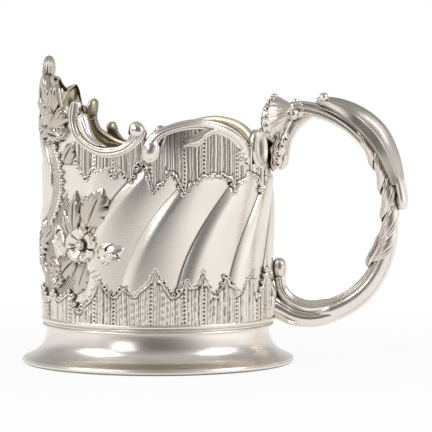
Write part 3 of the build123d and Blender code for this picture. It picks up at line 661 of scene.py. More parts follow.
# Rim scrolls, by the angles and heights of their two edges
SCOOP_OUTER = (
    (51.2, 83.4), (48.4, 82), (47, 79.6), (46.9, 77.4), (49.5, 73.2), (53.6, 70.3), (58.6, 68.1),
    (64.4, 66.5), (71.4, 65.6), (78, 66.3), (83.3, 68), (87.6, 70.1), (90.2, 72.4), (90.2, 74.6),
)
SCOOP_INNER = (
    (51.5, 83.4), (53.8, 82.2), (53.6, 79.8), (53, 77.4), (54.3, 74.2), (57.4, 72.1), (61.6, 70.3),
    (66.6, 69.2), (72.5, 69), (77.5, 69.6), (80.4, 71), (81.9, 72.6), (82.2, 74), (83, 75.2),
)
CURL_LOW = ((81.2, 73.2), (83.5, 72.2), (86, 71.8), (88.3, 72.2), (90.6, 73))
CURL_HIGH = ((81.4, 74.3), (82.6, 76), (85.2, 76.9), (88, 76.2), (90.5, 74))
CROWN_INNER = (
    (96.4, 66.8), (96.2, 69), (97.6, 70.8), (100.1, 72.2), (103.8, 73.2), (108.2, 73.8), (116, 74.1),
    (120.1, 73.6), (125.4, 72.6), (131.4, 71.2), (135.6, 69.4), (138.4, 67.4), (139.4, 65.8), (140.2, 64.4),
)
CROWN_OUTER = (
    (88, 66.6), (88.5, 69.6), (91, 72.2), (95.2, 74.2), (101.5, 75.9), (108.7, 77.1), (116, 77.6),
    (122.1, 77.3), (128.7, 76.4), (135, 74.8), (140.6, 72.6), (144.6, 70), (146.1, 67.4), (145.8, 65.2),
    (144.6, 63.8),
)
HOOK_INNER = ((96.6, 70.2), (97.6, 69.3), (99.2, 70.2), (100.2, 72.2), (102, 73.6))
HOOK_OUTER = ((97.4, 71), (98, 70.9), (98.3, 71.6), (98.9, 73), (100.5, 74.4))
TAIL_LOW = ((136.5, 67.2), (138.2, 66.6), (139.8, 66.5), (141.5, 66.6))
TAIL_HIGH = ((136.6, 67.6), (137.8, 68.1), (139.5, 68.6), (141.5, 68.8))
SPUR_LOW = ((107.1, 68.9), (111.6, 69.0), (116.2, 69.1), (118.6, 71), (123, 72.6), (129, 73.8))
SPUR_HIGH = ((107.4, 69.5), (109.3, 71), (112.3, 72.6), (115.8, 74.1), (120, 75.2), (127, 75.6))
LEAF_OUTER = ((53.6, 78.6), (53.2, 76.4), (54.6, 74), (57.6, 71.8), (62.4, 69.8), (69, 68.8))
LEAF_INNER = ((54.4, 79.3), (57.2, 79), (58.9, 77), (60.4, 74.6), (63.6, 71.6), (69.6, 69.3))
# On the far side the scroll's arm stands nearer to the crest and its knob lower, and the leaf's tip lies
# farther from the arm and lower; arm and leaf differ from a height up
ARM_SHIFT, KNOB_DROP = 3.6, 2.6
LEAF_SHIFT, LEAF_DROP = 3.2, 3.6
ARM_FOOT = 69


def far_scoop(line):
    """Edge of the far C-scroll: its arm moved, and its end lowered with the knob."""
    p, z = np.asarray(line, float).T
    arm = (p < 62) * clip((z - ARM_FOOT) / 6, 0, 1)
    return coords(p - ARM_SHIFT * arm, z - KNOB_DROP * clip((p - 76) / 6, 0, 1))


def far_leaf(line):
    """Edge of the far leaf: moved and lowered more toward its tip."""
    p, z = np.asarray(line, float).T
    tip = maximum(z - ARM_FOOT, 0) / 10
    return coords(p + LEAF_SHIFT * tip, z - LEAF_DROP * tip)


def scoop_pieces():
    """The C-scroll of each half of the rim, with its knob."""
    edges = SCOOP_OUTER, SCOOP_INNER
    near, far = (
        band(*lines, (1.7, 2.3, 2.4, 2.4, 2.3), 3, 170, cut=0.16, ends=(0.05, 0.02))
        for lines in (edges, map(far_scoop, edges))
    )
    knob = band(CURL_LOW, CURL_HIGH, (2.3, 2.9, 2.6), 1, 60, 30, ends=(0.3, 0.3))
    far_grids = [far, knob - (0, 0, KNOB_DROP)]
    pair("scoop_scroll", [near, knob], handled_silver, far_grids, reach=1.0, inside=worn_gilt)


def crown_pieces():
    """The arched scroll of each half of the rim, with a bulb and a volute at its ends and a hook inside each."""
    relief = (2.8, 2.7, 2.4, 2.4, 2.6, 2.5, 2.3)
    crown = band(CROWN_INNER, CROWN_OUTER, relief, 2, 190, cut=0.14, ends=(0.015, 0.03), sharp=6)
    hook = band(HOOK_INNER, HOOK_OUTER, (2.4, 2.6, 2.4), 1, 50, 18)
    tail = band(TAIL_LOW, TAIL_HIGH, (1.8, 2.4, 2.6), 1, 50, 18)
    q, _ = polar(26, 64)
    lift = 0.5 + 3.0 * dome(q) * (1 - 0.1 * bump(q, 0.7, 0.06))
    bulb = disc_on_wall(92.6, 68.0, -12, 2.9, 4.2, lift)
    grids = [crown, hook, tail, bulb, volute(142.5, 64.9, 2.4, 2.9, 1.0)]
    pair("crown_scroll", grids, handled_silver, reach=0.9, inside=worn_gilt)


def rim_leaf_pieces():
    """The leaf inside each C-scroll, the spur under each arch, and the hollow petal beside the handle, with
    painted shade in its bowl.
    """
    edges = LEAF_OUTER, LEAF_INNER
    near, far = (
        band(*lines, (1.9, 2.2, 1.7), 2, cut=0.12, ends=(0.12, 0.15)) for lines in (edges, map(far_leaf, edges))
    )
    pair("scoop_leaf", [near], handled_silver, [far], reach=0.9, inside=worn_gilt)
    spur = band(SPUR_LOW, SPUR_HIGH, (2.0, 2.7, 2.4), 2, cut=0.16, ends=(0.04, 0.2), sharp=6)
    pair("spur_leaf", [spur], handled_silver)
    q, a = polar(26, 64)
    bowl = 0.7 + 1.9 * (0.75 * q**2.5 + 0.2) * (1 - 0.6 * ease(q, 0.88, 1.0))
    petal = disc_on_wall(155.2, 68.0, 8.0, 4.3, 6.1, bowl)
    # Painted shade in the petal's bowl, deepest to one side
    shade = 0.62 * ease(-q, -0.85, -0.3) * ease(cos(a), -0.9, 0.5)
    pair("end_petal", [(petal, disc_dark(shade))], chased_silver)


# Crest over the cartouche: its top edge, and its ornament on one half
CREST_LINE = (
    (0, 91), (12, 91), (16, 90.6), (19, 90.2), (22, 88.4), (25, 87.2), (28.6, 86.7), (31.5, 87.4), (34.4, 88),
    (36.5, 86.5), (38, 83.5), (39.5, 80.5), (41, 78.6), (44, 78.2), (48, 78.2),
)
# Angle, height, lean, length, width and rise
CREST_TONGUES = (
    (7.5, 86.6, -4, 8.5, 4.4, 1.5), (15.5, 85.8, -12, 8.5, 4.2, 1.5), (23.5, 83.2, -20, 8, 4.2, 1.9),
    (32, 83.2, -14, 9, 4.6, 1.9), (38.5, 78, -52, 7.5, 4.4, 1.8), (8, 80.6, -26, 7, 4.2, 2.3),
    (17, 79.4, -36, 8, 4.4, 2.1), (27, 77.8, -42, 8.5, 4.6, 2),
)
CREST_LEAVES = ((16, 72.6, -76, 14, 6, 2.0), (34, 72.4, -98, 11, 5.2, 2.0))
CREST_LOOPS = ((42.5, 78.0), (38.5, 71.2), (28.0, 70.2))
CREST_BASE = WALL + 0.3
# The flutes of the sheet spread from this height
FAN_FOOT = 66


def crest_sheet():
    """The thick sheet of the crest, from the wall to its top edge, its flutes pressed through to the back."""
    angle = linspace(-48, 48, 341)[:, None]
    top = edge_height(CREST_LINE, angle)
    low = interp(abs(angle), (0, 36, 42, 48), (70.5, 72, 75.5, 77))
    height = low + (top - low) * linspace(0, 1, 60)[None]
    fan = np.arctan2(radians(angle) * WALL, height - FAN_FOOT)
    flutes = abs(cos(11 * fan)) ** 0.7
    off = np.minimum(top - height, height - low + 0.4)
    lift = (0.7 + 0.6 * flutes) * ease(off, -0.1, 0.7)
    pressed = 0.7 * flutes * ease(off, 0.0, 1.2)
    front, back = on_wall(angle, height, WALL + lift), on_wall(angle, height, BORE + 0.3 + pressed)
    return capped(closed(front, back[:, ::-1]))


def crest_pieces():
    """The crest, gilt behind: fluted tongues and leaves that spread from a boss, and the palmette on its top."""
    parts = [crest_sheet()]
    for make, rows, cuts in ((tongue, CREST_TONGUES, 3), (leaf, CREST_LEAVES, 5)):
        for phi, z, lean, *sizes in rows:
            parts += [make(side * phi, z, side * lean, *sizes, cuts, CREST_BASE) for side in SIDES]
    parts += [volute(side * 41.0, 73.6, 2.4, 2.4, 0, side) for side in SIDES]
    q, a = polar(26, 96)
    boss = (1.1 + 1.5 * dome(q)) * (1 - 0.2 * abs(cos(6 * a)) ** 3 * ease(q, 0.15, 0.5))
    parts.append(disc_on_wall(0, 75.6, 0, 5.4, 5.8, boss))
    parts += wall_studs([(side * p, z) for side in SIDES for p, z in CREST_LOOPS], 1.0, 1.5)
    piece("crest_plaque", parts, oxidised_silver, depth=0.09, inside=worn_gilt)

    t = linspace(0, 1, 60)
    path = coords(-(WALL + 0.4) + 1.2 * ease(t, 0.2, 0.8), 0, 82 + 15.2 * t)
    waist = 1 - 0.16 * bump(t, 0.56, 0.05)
    wide, deep = (
        maximum(half * (1 - t**power) ** 0.5 * waist, 0.05) for half, power in ((6.2, 4), (2.05, 9))
    )
    palmette = swept(
        path, (-1, 0, 0), wide, deep, lambda s, t: 0.1 * abs(sin(6.5 * (s - pi / 2))) ** 3 + 0 * t, 96
    )
    piece("crest_palmette", [palmette], oxidised_silver, reach=0.6, depth=0.2)


# Cartouche: half sizes of its bare shield, moulding and punched ground, and the height of its middle
SHIELD, MOULD, GROUND = (13.4, 11.6), (19.2, 15.4), (25.0, 19.0)
SHIELD_Z = 58.0
GROUND_LOOPS = 42
DOT_GRID = 1.15


def rose(angle, height, size, rise, base, turn=0.2):
    """A rose of five petals by the fifth harmonic of the angle: each is a broad cup with a notched and curled
    edge, and the eye is a beaded dome; painted shade darkens the seams between the petals and a ring round the
    eye."""
    q, a = polar(36, 150)
    part = abs(cos(2.5 * (a - turn)))
    outline = size * (0.8 + 0.2 * part**0.5 - 0.1 * bump(part, 1, 0.04) * q**8)
    cup = 0.4 + 0.6 * ease(q, 0.22, 0.8) - 0.34 * ease(q, 0.86, 1)
    seam = bump(part, 0, 0.16) * ease(q, 0.25, 0.5)
    eye = 0.85 - 2.2 * q**2 + 0.1 * cos(6 * a) * bump(q, 0.17, 0.06)
    lift = rise * np.where(q < 0.27, maximum(eye, 0.4), cup * (1 - 0.5 * seam))
    # Painted shade in the seams between the petals and round the eye
    dark = maximum(0.6 * bump(part, 0, 0.1) * ease(q, 0.3, 0.5), 0.8 * bump(q, 0.3, 0.05))
    return disc_on_wall(angle, height, 0, outline, outline, lift, base), disc_dark(dark)


def punched(x, y):
    """A ground of punched dots in staggered rows: 1 in each dot and 0 between them."""
    return ease(cos(2 * pi * x / DOT_GRID) * cos(2 * pi * y / DOT_GRID), 0.1, 0.7)


def ground_sheet(start, end):
    """The punched ground between two angles, from the lower fringe up to the cartouche, fading to one side."""
    angle = linspace(start, end, int(5.6 * (end - start)))[:, None]
    share = linspace(0, 1, 150)[None]
    low = edge_height(LOWER_EDGE, angle) - 0.5
    high = interp(abs(angle), (0, 12, 22, 36, 44, 52), (41, 41.6, 43, 49, 56, 42))
    height = low + (high - low) * share
    dots = punched(radians(angle) * WALL, height)
    edge = ease(-angle, -52, -47) * ease(share, 0, 0.06) * ease(1 - share, 0, 0.06)
    # The punched ground darkened, most in its dots, with tarnish and painted shade
    return backed(angle, height, WALL + (0.4 - 0.25 * dots) * edge), sheet_dark((0.2 + 0.7 * dots) * edge)


def oval_grid(inner, outer, count=420, rows=26):
    """Shares from one upright oval in to another, by their half sizes, and the places across and up."""
    a = linspace(0, 2 * pi, count + 1)[:, None]
    s = linspace(0, 1, rows)[None] + 0 * a
    x, y = (((1 - s) * o + s * i) * turn for o, i, turn in zip(outer, inner, (cos(a), sin(a))))
    return s, x, y


def cartouche_pieces():
    """Bare shield, its domed moulding with a fine groove, the punched ground with an edge wire and pierced loops
    round it, and the apron of scrolls, rose and leaves under it."""
    q, _ = polar(30, 120)
    shield = disc_on_wall(0, SHIELD_Z, 0, *SHIELD, 0.4 + 0.9 * (1 - q**2) ** 0.7, sink=0.2)
    piece("shield", [shield], raised_silver, "shield_plaque")
    s, x, y = oval_grid([half - 0.6 for half in SHIELD], MOULD)
    lift = 0.1 + 1.7 * dome(2 * s - 1, 0.8) * (1 - 0.3 * bump(s, 0.8, 0.05))
    mould = backed(*turned(0, SHIELD_Z, 0, x, y), WALL + lift, ends=False)
    s, x, y = oval_grid([half - 0.5 for half in MOULD], GROUND, 620, 34)
    dots = punched(x, y)
    lift = (0.5 - 0.3 * dots + 0.6 * bump(s, 0.08, 0.07)) * ease(s, -0.03, 0.05)
    ground = backed(*turned(0, SHIELD_Z, 0, x, y), WALL + lift, ends=False)
    # The punched ground darkened, most in its dots, with tarnish and painted shade
    dark = sheet_dark((0.2 + 0.7 * dots) * ease(s, 0.12, 0.2), False)
    around = linspace(0, 2 * pi, GROUND_LOOPS, endpoint=False)
    angle, height = np.degrees(GROUND[0] * cos(around) / WALL), SHIELD_Z + GROUND[1] * sin(around)
    loops = wall_studs(coords(angle, height), 1.0, 0.8)
    piece("cartouche_frame", [mould, (ground, dark)] + loops, chased_silver, reach=0.6, depth=0.1)
    apron = [rose(0, 36.0, 6.4, 2.2, WALL)]
    for side in SIDES:
        apron += [
            leaf(side * 14, 37.6, -side * 64, 14, 7, 1.9, 5),
            leaf(side * 12, 31.0, -side * 116, 12, 6, 1.6, 4),
            volute(side * 17, 43.0, 3.4, 2.1, 0, side),
            tongue(side * 26, 42.0, side * 120, 9, 4.6, 1.8, 3),
        ]
    apron.append(ground_sheet(-24, 24))
    piece("cartouche_apron", apron, oxidised_silver, depth=0.1)


# Leaves of the spray beside the cartouche: angle, height, lean, length, width, rise and teeth
SPRAY_LEAVES = (
    (64, 50.6, -26, 14.5, 10.5, 2.1, 5), (50.5, 49, -6, 13, 5, 1.8, 4),
    (56, 28.6, 158, 11, 7, 1.9, 4), (44.5, 31, 130, 10.5, 6, 1.7, 4),
    (33, 31.5, 60, 10, 6, 1.9, 4), (45, 45.5, 20, 9, 4.6, 1.8, 3),
)
SMALL_LEAVES = (
    (62, 43.6, -30, 6, 3, 1.6, 0), (65, 35, 66, 7, 2.6, 1.5, 0),
    (47, 67.2, -40, 9, 5.6, 1.8, 3),
)


def bud(angle, height, lean, length, width, rise):
    """A closed bud: an egg on the wall whose petals fold over each other in a spiral, and two calyx leaves."""
    q, a = polar(26, 72)
    fold = (0.8 * q + 3 * a / (2 * pi)) % 1
    lift = rise * dome(q**1.2, 0.8) * (1 - 0.3 * fold * ease(q, 0.1, 0.35))
    egg = disc_on_wall(angle, height, lean, width / 2 * (1 - 0.25 * sin(a)), length / 2, lift)
    return [egg] + [
        leaf(angle, height - length * 0.16, lean + side * 26, length * 0.8, width * 0.5, rise * 0.9, 3)
        for side in SIDES
    ]


def flower_pieces():
    """Rose, buds and leaves on the wall beside the cartouche, with a small rose among the leaves."""
    pair("rose", [rose(56.3, 38.8, 5.7, 2.9, WALL + 0.3, 0.35)], chased_silver, depth=0.14)
    buds = bud(72.0, 36.8, -76, 10.0, 6.4, 2.7) + bud(38.5, 40.0, 14, 11, 7.0, 2.3)
    pair("bud", buds, chased_silver, depth=0.13)
    small_rose, _ = rose(37.0, 28.6, 3.8, 1.9, WALL + 0.2, 0.9)
    spray = [leaf(*row) for row in SPRAY_LEAVES] + [small_rose] + [leaf(*row) for row in SMALL_LEAVES]
    spray += [tongue(66.5, 31.0, 118, 9.0, 4.0, 1.6, 2), ground_sheet(23.8, 52)]
    pair("leaf_spray", spray, oxidised_silver, depth=0.11)


# Handle: an ellipse by its middle and half sizes, with turns from its outermost point upward
HANDLE_X, HANDLE_Z = 44.0, 47.5
HANDLE_REACH, HANDLE_RISE = 29.6, 33.0
SHANK_HALF_WIDTH = 3.3
ACROSS = np.array((0, 1.0, 0))
# Thumb leaf: how high its crest and hem lie over the handle's line, and its half width, by turn downward
THUMB_CREST = (
    (-79, 4), (-72, 5.5), (-64, 6.6), (-54, 7.6), (-43, 8.1), (-32, 7.4), (-23, 6.5), (-15, 5.6),
)
THUMB_HEM = (-79, -64, -48, -24, -15), (2.6, 1.4, 0.6, 0.8, 1.6)
THUMB_WIDTH = ((-79, 1.6), (-70, 4.2), (-58, 6.0), (-40, 6.5), (-26, 5.6), (-19, 5.0), (-15, 4.6))
LEAF_SHEET = 0.9
# Curls of the twisted leaf: the turn where each starts, the turn it spans and its size
TWISTS = ((52, 26, 0.7), (37, 26, 0.8), (21, 26, 0.95), (5, 26, 1.1), (-9, 22, 1.15))
# Lower end: the root that runs to the wall and the branch that curls up, by x and z
ROOT_LINE = (
    (58.9, 16.8), (53.7, 14.75), (50.4, 14), (47.9, 13.85), (45, 14.2), (42.4, 14.95), (40, 16.2),
    (37.5, 17.5), (35.8, 18.6),
)
BRANCH_LINE = (
    (57.5, 19.4), (52.7, 18), (50, 17.6), (47.2, 17.65), (44.2, 18.5), (41.2, 20.4), (39.2, 23.4),
    (38.6, 27.2),
)


def handle_line(turn, out=0.0):
    """Points on the handle's ellipse, fuller low down, at turns and moved outward, and their outward ways."""
    a = radians(turn)
    out = out + 1.15 * bump(turn, -42, 24)
    normal = unit(coords(cos(a) / HANDLE_REACH, 0, sin(a) / HANDLE_RISE))
    x, z = HANDLE_X + HANDLE_REACH * cos(a), HANDLE_Z + HANDLE_RISE * sin(a)
    return coords(x, 0, z) + np.asarray(out)[..., None] * normal, normal


def shank_half_depth(turn):
    """Half the shank's depth at a turn, thickest low down."""
    return interp(-turn, (-88, -70, -40, 0, 25, 45, 65, 88), (2.4, 2.4, 2.1, 2.6, 3.0, 3.4, 3.7, 3.9))


def shank_piece():
    """The shank: strands that wind round it above, and straight grooves along it below."""
    turn = linspace(88, -92, 250)
    strands = notches((36, -16), (-8, -64), deep=0.2, wide=0.19)
    grooves = notches(-76, -58, -36, 50, 74, deep=0.1, wide=0.1)

    def dents(s, t):
        low = ease(t, 0.5, 0.62)
        return strands(s, t / 0.5) * (1 - low) + grooves(s, t) * low

    end = 0.2 + 0.8 * ease(turn, -90, -68)
    shank = swept(*handle_line(turn), SHANK_HALF_WIDTH * end, shank_half_depth(turn) * end, dents, 128)
    halves = "handle_shank_near", "handle_shank_far"
    piece("handle_shank", [shank], handled_silver, *halves, reach=0.8, depth=0.34)


def thumb_leaf_pieces():
    """The leaf along the handle: an arched sheet with a groove down its middle, engraved lines and wavy edges;
    its tab below and the curl of its root above."""
    turn = linspace(79, 15, 120)
    crest, hem, wide = smooth(THUMB_CREST, -turn), interp(-turn, *THUMB_HEM), smooth(THUMB_WIDTH, -turn)
    s = radians(linspace(86, -86, 121))[None]
    ripple = 0.1 * cos(7 * s) ** 2 - 0.3 * bump(s, 0, 0.08)
    lip = 0.35 * bump(abs(s), 1.28, 0.1)
    face = hem[:, None] + (crest - hem)[:, None] * cos(s) ** 0.8 + ripple * cos(s) ** 0.5 + lip
    out = closed(face, face[:, ::-1] - LEAF_SHEET)
    side = -wide[:, None] * sin(s) * (1 + 0.05 * sin(radians(turn * 14)))[:, None]
    side = closed(side, side[:, ::-1] * 0.93)
    path, normal = handle_line(turn)
    sheet = path[:, None] + out[..., None] * normal[:, None] + side[..., None] * ACROSS
    lines = 0.45 * abs(sin(19 * s)) ** 8 * ease(cos(s), 0.1, 0.4) * ease(turn, 17, 30)[:, None]
    dark = sheet_dark(lines, columns=lines.shape[1])
    piece("thumb_leaf", [(capped(sheet), dark)], shade_darkened_silver, reach=0.8)

    share = linspace(0, 1, 60)
    tab_line = handle_line(22.0 - 20.6 * share, interp(share, (0, 0.3, 0.8, 1), (3.2, 3.7, 3.8, 3.6)))
    tip = clip(1 - clip((share - 0.55) / 0.45, 0, 1) ** 5, 0.0005, 1) ** 0.4
    end = tip * sqrt(ease(share, -0.02, 0.1))
    tab = swept(*tab_line, 4.4 * end, 2.05 * end, notches(50, -40, deep=0.05, wide=0.12))
    curl_path = linspace((52.6, -3.4, 83.9), (52.6, 3.4, 83.9), 40)
    end = rounded(linspace(0, 1, 40), 4, 0.001)
    curl = swept(curl_path, (0, 0, 1), 1.75 * end, 1.55 * end, notches(20, deep=0.2, wide=0.2))
    piece("thumb_tab", [tab, curl], handled_silver, "thumb_leaf", reach=0.8)


def twist_leaf_piece():
    """Ribbons that wind to the inside of the handle one after the other, on both sides, and a broad tip."""
    curls = []
    share = linspace(0, 1, 70)
    around = radians(52 - 132 * share)
    swell = sqrt(clip(sin(pi * clip(share, 0.01, 0.985) ** 0.75), 0.001, 1))
    for start, span, size in TWISTS:
        turn = start - span * share
        core, normal = handle_line(turn)
        deep = shank_half_depth(turn) - 0.35 + 0.95 * bump(share, 0.85, 0.18)
        out, side = sin(around)[:, None] * normal, cos(around)[:, None] * ACROSS
        ribbon = core + deep[:, None] * out - 3.05 * side
        curl = swept(ribbon, out - side, 2.1 * size * swell, 0.85 * swell, notches(35, 62, deep=0.16), 48)
        curls += [curl, mirrored(curl)]
    turn = -10 - 24 * share
    line, normal = handle_line(turn, -shank_half_depth(turn) + 0.3 - 0.9 * bump(share, 0.8, 0.3))
    end = sqrt(clip(1 - clip((share - 0.6) / 0.4, 0, 1) ** 3, 0.001, 1))
    end = end * sqrt(ease(share, -0.02, 0.3))
    curls.append(swept(line, -normal, 3.4 * end, 1.5 * end, notches(20, 48, 74, deep=0.14, wide=0.1)))
    piece("twist_leaf", curls, chased_silver)


def lower_end_pieces():
    """The handle's lower end: its root, the branch that curls up to an egg, and the leaves of its pad."""
    root = swept(
        in_plane(ROOT_LINE, 90), (-0.25, 0, -1), ((0, 0.2, 1), (2.4, 3.3, 3.5)),
        ((0, 0.25, 0.6, 1), (1.7, 2.6, 2.8, 3.6)), notches(50, 74, -30, deep=0.07, wide=0.08), 96,
    )
    a = pi / 2 * linspace(0, 1, 90)
    under = coords(-sin(a), 0, -cos(a))
    branch = swept(
        in_plane(BRANCH_LINE, 90), under, ((0, 0.2, 0.7, 1), (2.3, 3.1, 2.7, 2.2)),
        ((0, 0.2, 0.6, 1), (1.5, 2.1, 2.2, 1.9)), notches(-74, -48, -14, deep=0.07, wide=0.1), 80,
    )
    piece("lower_terminal", [root, branch], handled_silver, reach=0.8, depth=0.36)
    end = rounded(linspace(0, 1, 50) ** 1.1)
    egg_path = linspace((38.8, 0, 26.0), (38.5, 0, 33.2), 50)
    egg = swept(egg_path, (1, 0, 0), 2.6 * end, 2.4 * end, notches(-20, deep=0.08))
    piece("lower_volute", [egg], chased_silver)
    pad = [leaf(180 + lean / 9, 21.6, lean, 15, 6.4, 2.0, 5, WALL + 0.6) for lean in (-22, 22, 0)]
    piece("lower_pad", pad, chased_silver)


# Shell at the top of the handle: half sizes of its dish at the apex and at the mouth
SHELL_FLUTES = 9
SHELL_X, SHELL_Z, SHELL_DROP = 43.6, 79.4, 2.5
APEX, MOUTH = (2.6, 2.3), (13.2, 7.3)
# The smooth root of the shank and the pierced lobe behind it, by x and z
STRAND_LINE = ((50, 79.8), (47, 77.9), (43.6, 75), (41.4, 71.2), (40.5, 67.4), (40.1, 63.8), (38.9, 61.2))
LOBE_LINE = ((42.4, 77.6), (39.4, 73), (38, 68), (37.5, 64), (36.6, 60.5))
# Holes of the pierced lobe, on one half
PIERCED = ((40.8, 4.4, 70.8), (39.6, 5.3, 68.6), (38.6, 5.8, 65.6), (38.2, 5.0, 62.8))
# Middles and radii of the balls on the knuckle
BALLS = (((43.0, 3.0, 78.6), 1.9), ((43.0, -3.0, 78.6), 1.9), ((43.6, 0, 82.6), 0.95))


def shell_dish():
    """A dish from the shank to an oval mouth on the wall, with broad flutes, a raised edge and a hollow back; and
    the pierced loops on its edge."""
    columns, slope_row, loop_row = 280, 44, 47
    share = linspace(0, 1, 56)[:, None]
    a = linspace(0, 2 * pi, columns + 1)[None]
    flute = abs(cos(SHELL_FLUTES * (a - pi / 2)))
    size = interp(share, (0, 0.15, 0.35, 0.55, 0.75, 0.9, 1), (0, 0.14, 0.42, 0.7, 0.92, 1.0, 0.99))
    swell = 1 + 0.035 * (flute**0.35 - 1) * ease(share, 0.08, 0.3) * ease(1 - share, 0.08, 0.2)
    swell = swell + 0.03 * bump(share, 0.95, 0.045) + 0.02 * (flute - 0.5) * ease(share, 0.85, 1)
    wide, tall = (low + (high - low) * size for low, high in zip(APEX, MOUTH))
    y = wide * cos(a) * swell
    z = SHELL_Z - SHELL_DROP * share + tall * sin(a) * swell
    mouth = sqrt(clip((WALL + 0.5) ** 2 - y**2, 0, None))
    outer = coords(SHELL_X + (mouth - SHELL_X) * share**0.9, y, z)
    middle = outer.mean(axis=1, keepdims=True)
    inner = middle + (outer - middle) * 0.9
    at = np.arange(1, columns, columns // (2 * SHELL_FLUTES))
    facing = unit(np.cross(*np.gradient(outer, axis=(0, 1)))[slope_row, at])
    loops = studs(outer[loop_row, at] + 0.25 * facing, facing, 0.95)
    return [concatenate([outer, inner[::-1], outer[:1]])], loops


def shell_piece():
    """The shell: its dish, the smooth root of the shank below it, and the pierced lobe on the wall behind that."""
    dish, loops = shell_dish()
    strand = swept(
        in_plane(STRAND_LINE, 80), (1, 0, -0.4), ((0, 0.3, 0.8, 1), (2.6, 2.7, 2.2, 0.8)),
        ((0, 0.3, 0.9, 1), (1.5, 1.8, 1.5, 0.8)), notches(24, -20, deep=0.1, wide=0.12),
    )
    grooves = notches(10, -25, deep=0.08)
    lobe = swept(
        in_plane(LOBE_LINE, 80), (1, 0, 0.1), ((0, 0.3, 0.6, 0.8, 0.94, 1), (2.2, 4.4, 6.0, 5.4, 3.2, 0.6)),
        ((0, 0.3, 0.6, 0.9, 1), (1.8, 3.0, 2.9, 2.0, 0.4)),
        lambda s, t: (0.06 * cos(6 * s + 3 * t) * cos(30 * t) + grooves(s, t)) * ease(t, 0.1, 0.4), 72,
    )
    spots = np.array([(x, side * y, z) for side in SIDES for x, y, z in PIERCED])
    sides = np.array([(0.55, side * 0.84, 0) for side in SIDES for _ in PIERCED])
    grids = dish + [strand, lobe] + loops + studs(spots, sides, 0.9)
    piece("handle_shell", grids, chased_silver, reach=0.8, depth=0.24)


def knuckle_piece():
    """The collar between shell and shank, with a ball at each side and a small one on top."""
    barrel = (0, 0.12, 0.35, 0.75, 0.9, 1), (1.4, 2.9, 3.3, 3.1, 2.9, 2.3)
    run = linspace((41.4, 0, 79.2), (46.6, 0, 80.0), 40)
    parts = [swept(run, (0, 0, 1), barrel, barrel, notches(30, -30, deep=0.06, wide=0.12))]
    for (x, y, z), radius in BALLS:
        run = linspace((x, y, z - radius), (x, y, z + radius), 40)
        ball = radius * rounded(linspace(0, 1, 40))
        parts.append(swept(run, (1, 0, 0), ball, ball, notches()))
    piece("shell_knuckle", parts, chased_silver)


for make_pieces in (
    foot_pieces, sleeve_piece, lobes_piece, lower_fringe_piece, upper_fringe_pieces, scoop_pieces, crown_pieces,
    rim_leaf_pieces, crest_pieces, cartouche_pieces, flower_pieces, shank_piece, thumb_leaf_pieces,
    twist_leaf_piece, lower_end_pieces, shell_piece, knuckle_piece,
):
    make_pieces()
seat = frame["nodes"]["seat_disc"]
# The seat disc in the well takes the gilt darkened with painted shade
for spot in range(len(seat.data.materials)):
    seat.data.materials[spot] = shade_darkened_gilt


# Studio, in metres
FLOOR = ((-1.6, -0.24, 0), (1.6, -0.24, 0), (1.6, 1.6, 0), (-1.6, 1.6, 0))
WHITE = (1, 1, 1, 1)
# Place, size and watts of each lamp, all turned to one target
SOFTBOXES = {
    "left_softbox": ((-0.62, -0.22, 0.68), 0.42, 2.3),
    "right_softbox": ((0.72, -0.14, 0.66), 0.42, 2.2),
    "front_softbox": ((-0.45, -0.75, 0.45), 0.3, 0.8),
}
LAMP_TARGET = Vector((0.0, 0.0, 0.05))
CAMERA_SWING, CAMERA_AWAY, CAMERA_LIFT = radians(6.0), 0.815, 0.091
CAMERA_TARGET = Vector((0.0183, 0.0019, 0.0462))


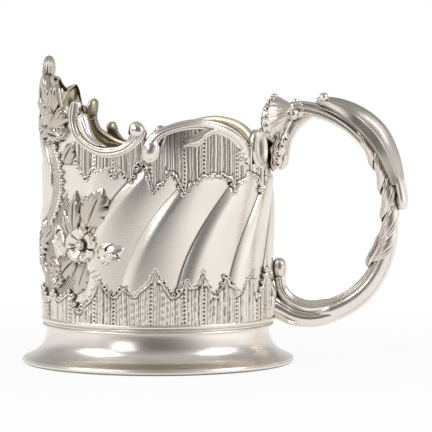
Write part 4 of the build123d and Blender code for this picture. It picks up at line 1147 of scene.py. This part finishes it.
def floor():
    """White paper that keeps the shadow near the object, and is plain white to the camera farther away."""
    mesh = bpy.data.meshes.new("floor")
    mesh.from_pydata(FLOOR, [], [(0, 1, 2, 3)])
    placed("floor", mesh)
    paper = bpy.data.materials.new("white_paper")
    paper.use_nodes = True
    tree = paper.node_tree
    shader = tree.nodes["Principled BSDF"]
    shader.inputs["Base Color"].default_value = colour("#f4f4f4")
    shader.inputs["Roughness"].default_value = 0.9
    glow = node(tree, "Emission", {"Color": WHITE, "Strength": 1.0})[0]
    path = node(tree, "LightPath")
    seen = reckon(tree, "MAXIMUM", path["Is Camera Ray"], path["Is Glossy Ray"])
    place = node(tree, "TexCoord")["Object"]
    away = node(tree, "VectorMath", {0: place}, operation="LENGTH")["Value"]
    share = reckon(tree, "MULTIPLY", seen, ramp(tree, away, 0.08, 0.23, 0.9, 1.0))
    mix = node(tree, "MixShader", {0: share, 1: shader.outputs["BSDF"], 2: glow})[0]
    tree.links.new(mix, tree.nodes["Material Output"].inputs["Surface"])
    mesh.materials.append(paper)


def room():
    """A white room, dim toward the camera and above, as polished silver shows it; the camera sees it white."""
    world = bpy.data.worlds.new("room")
    bpy.context.scene.world = world
    world.use_nodes = True
    tree = world.node_tree
    tree.nodes.clear()
    place = node(tree, "TexCoord")["Generated"]
    way = node(tree, "SeparateXYZ", {0: place})
    level = ramp(tree, way["Y"], -1.0, -0.45, 0.17, 1.25)
    for dim in (
        ramp(tree, way["Z"], 0.1, 0.45, 1.0, 0.42, "SMOOTHSTEP"),
        ramp(tree, way["Y"], 0.2, 0.9, 1.0, 0.65),
        ramp(tree, way["X"], -1.0, -0.6, 0.78, 1.0),
    ):
        level = reckon(tree, "MULTIPLY", level, dim)
    lit = node(tree, "Background", {"Color": WHITE, "Strength": level})[0]
    plain = node(tree, "Background", {"Color": WHITE, "Strength": 1.0})[0]
    seen = node(tree, "LightPath")["Is Camera Ray"]
    mix = node(tree, "MixShader", {0: seen, 1: lit, 2: plain})[0]
    node(tree, "OutputWorld", {"Surface": mix})


def aimed(name, data, place, target):
    """A lamp or camera at a place, turned to a target."""
    made = placed(name, data)
    made.location = place
    made.rotation_euler = (target - made.location).to_track_quat("-Z", "Y").to_euler()
    return made


def lamps():
    """Two large softboxes high at the sides, and a weak one in front."""
    for name, (place, size, watts) in SOFTBOXES.items():
        lamp = bpy.data.lights.new(name, "AREA")
        lamp.size = size
        lamp.energy = watts
        aimed(name, lamp, place, LAMP_TARGET)


def camera():
    """Long lens a little above the rim, six degrees round from the handle's plane."""
    lens = bpy.data.cameras.new("camera")
    lens.lens = 214.0
    lens.sensor_width = 36.0
    lens.clip_start = 0.01
    x, y = CAMERA_AWAY * sin(CAMERA_SWING), -CAMERA_AWAY * cos(CAMERA_SWING)
    bpy.context.scene.camera = aimed("camera", lens, (x, y, CAMERA_LIFT), CAMERA_TARGET)


bpy.context.scene.view_settings.view_transform = "Standard"
floor()
room()
lamps()
camera()
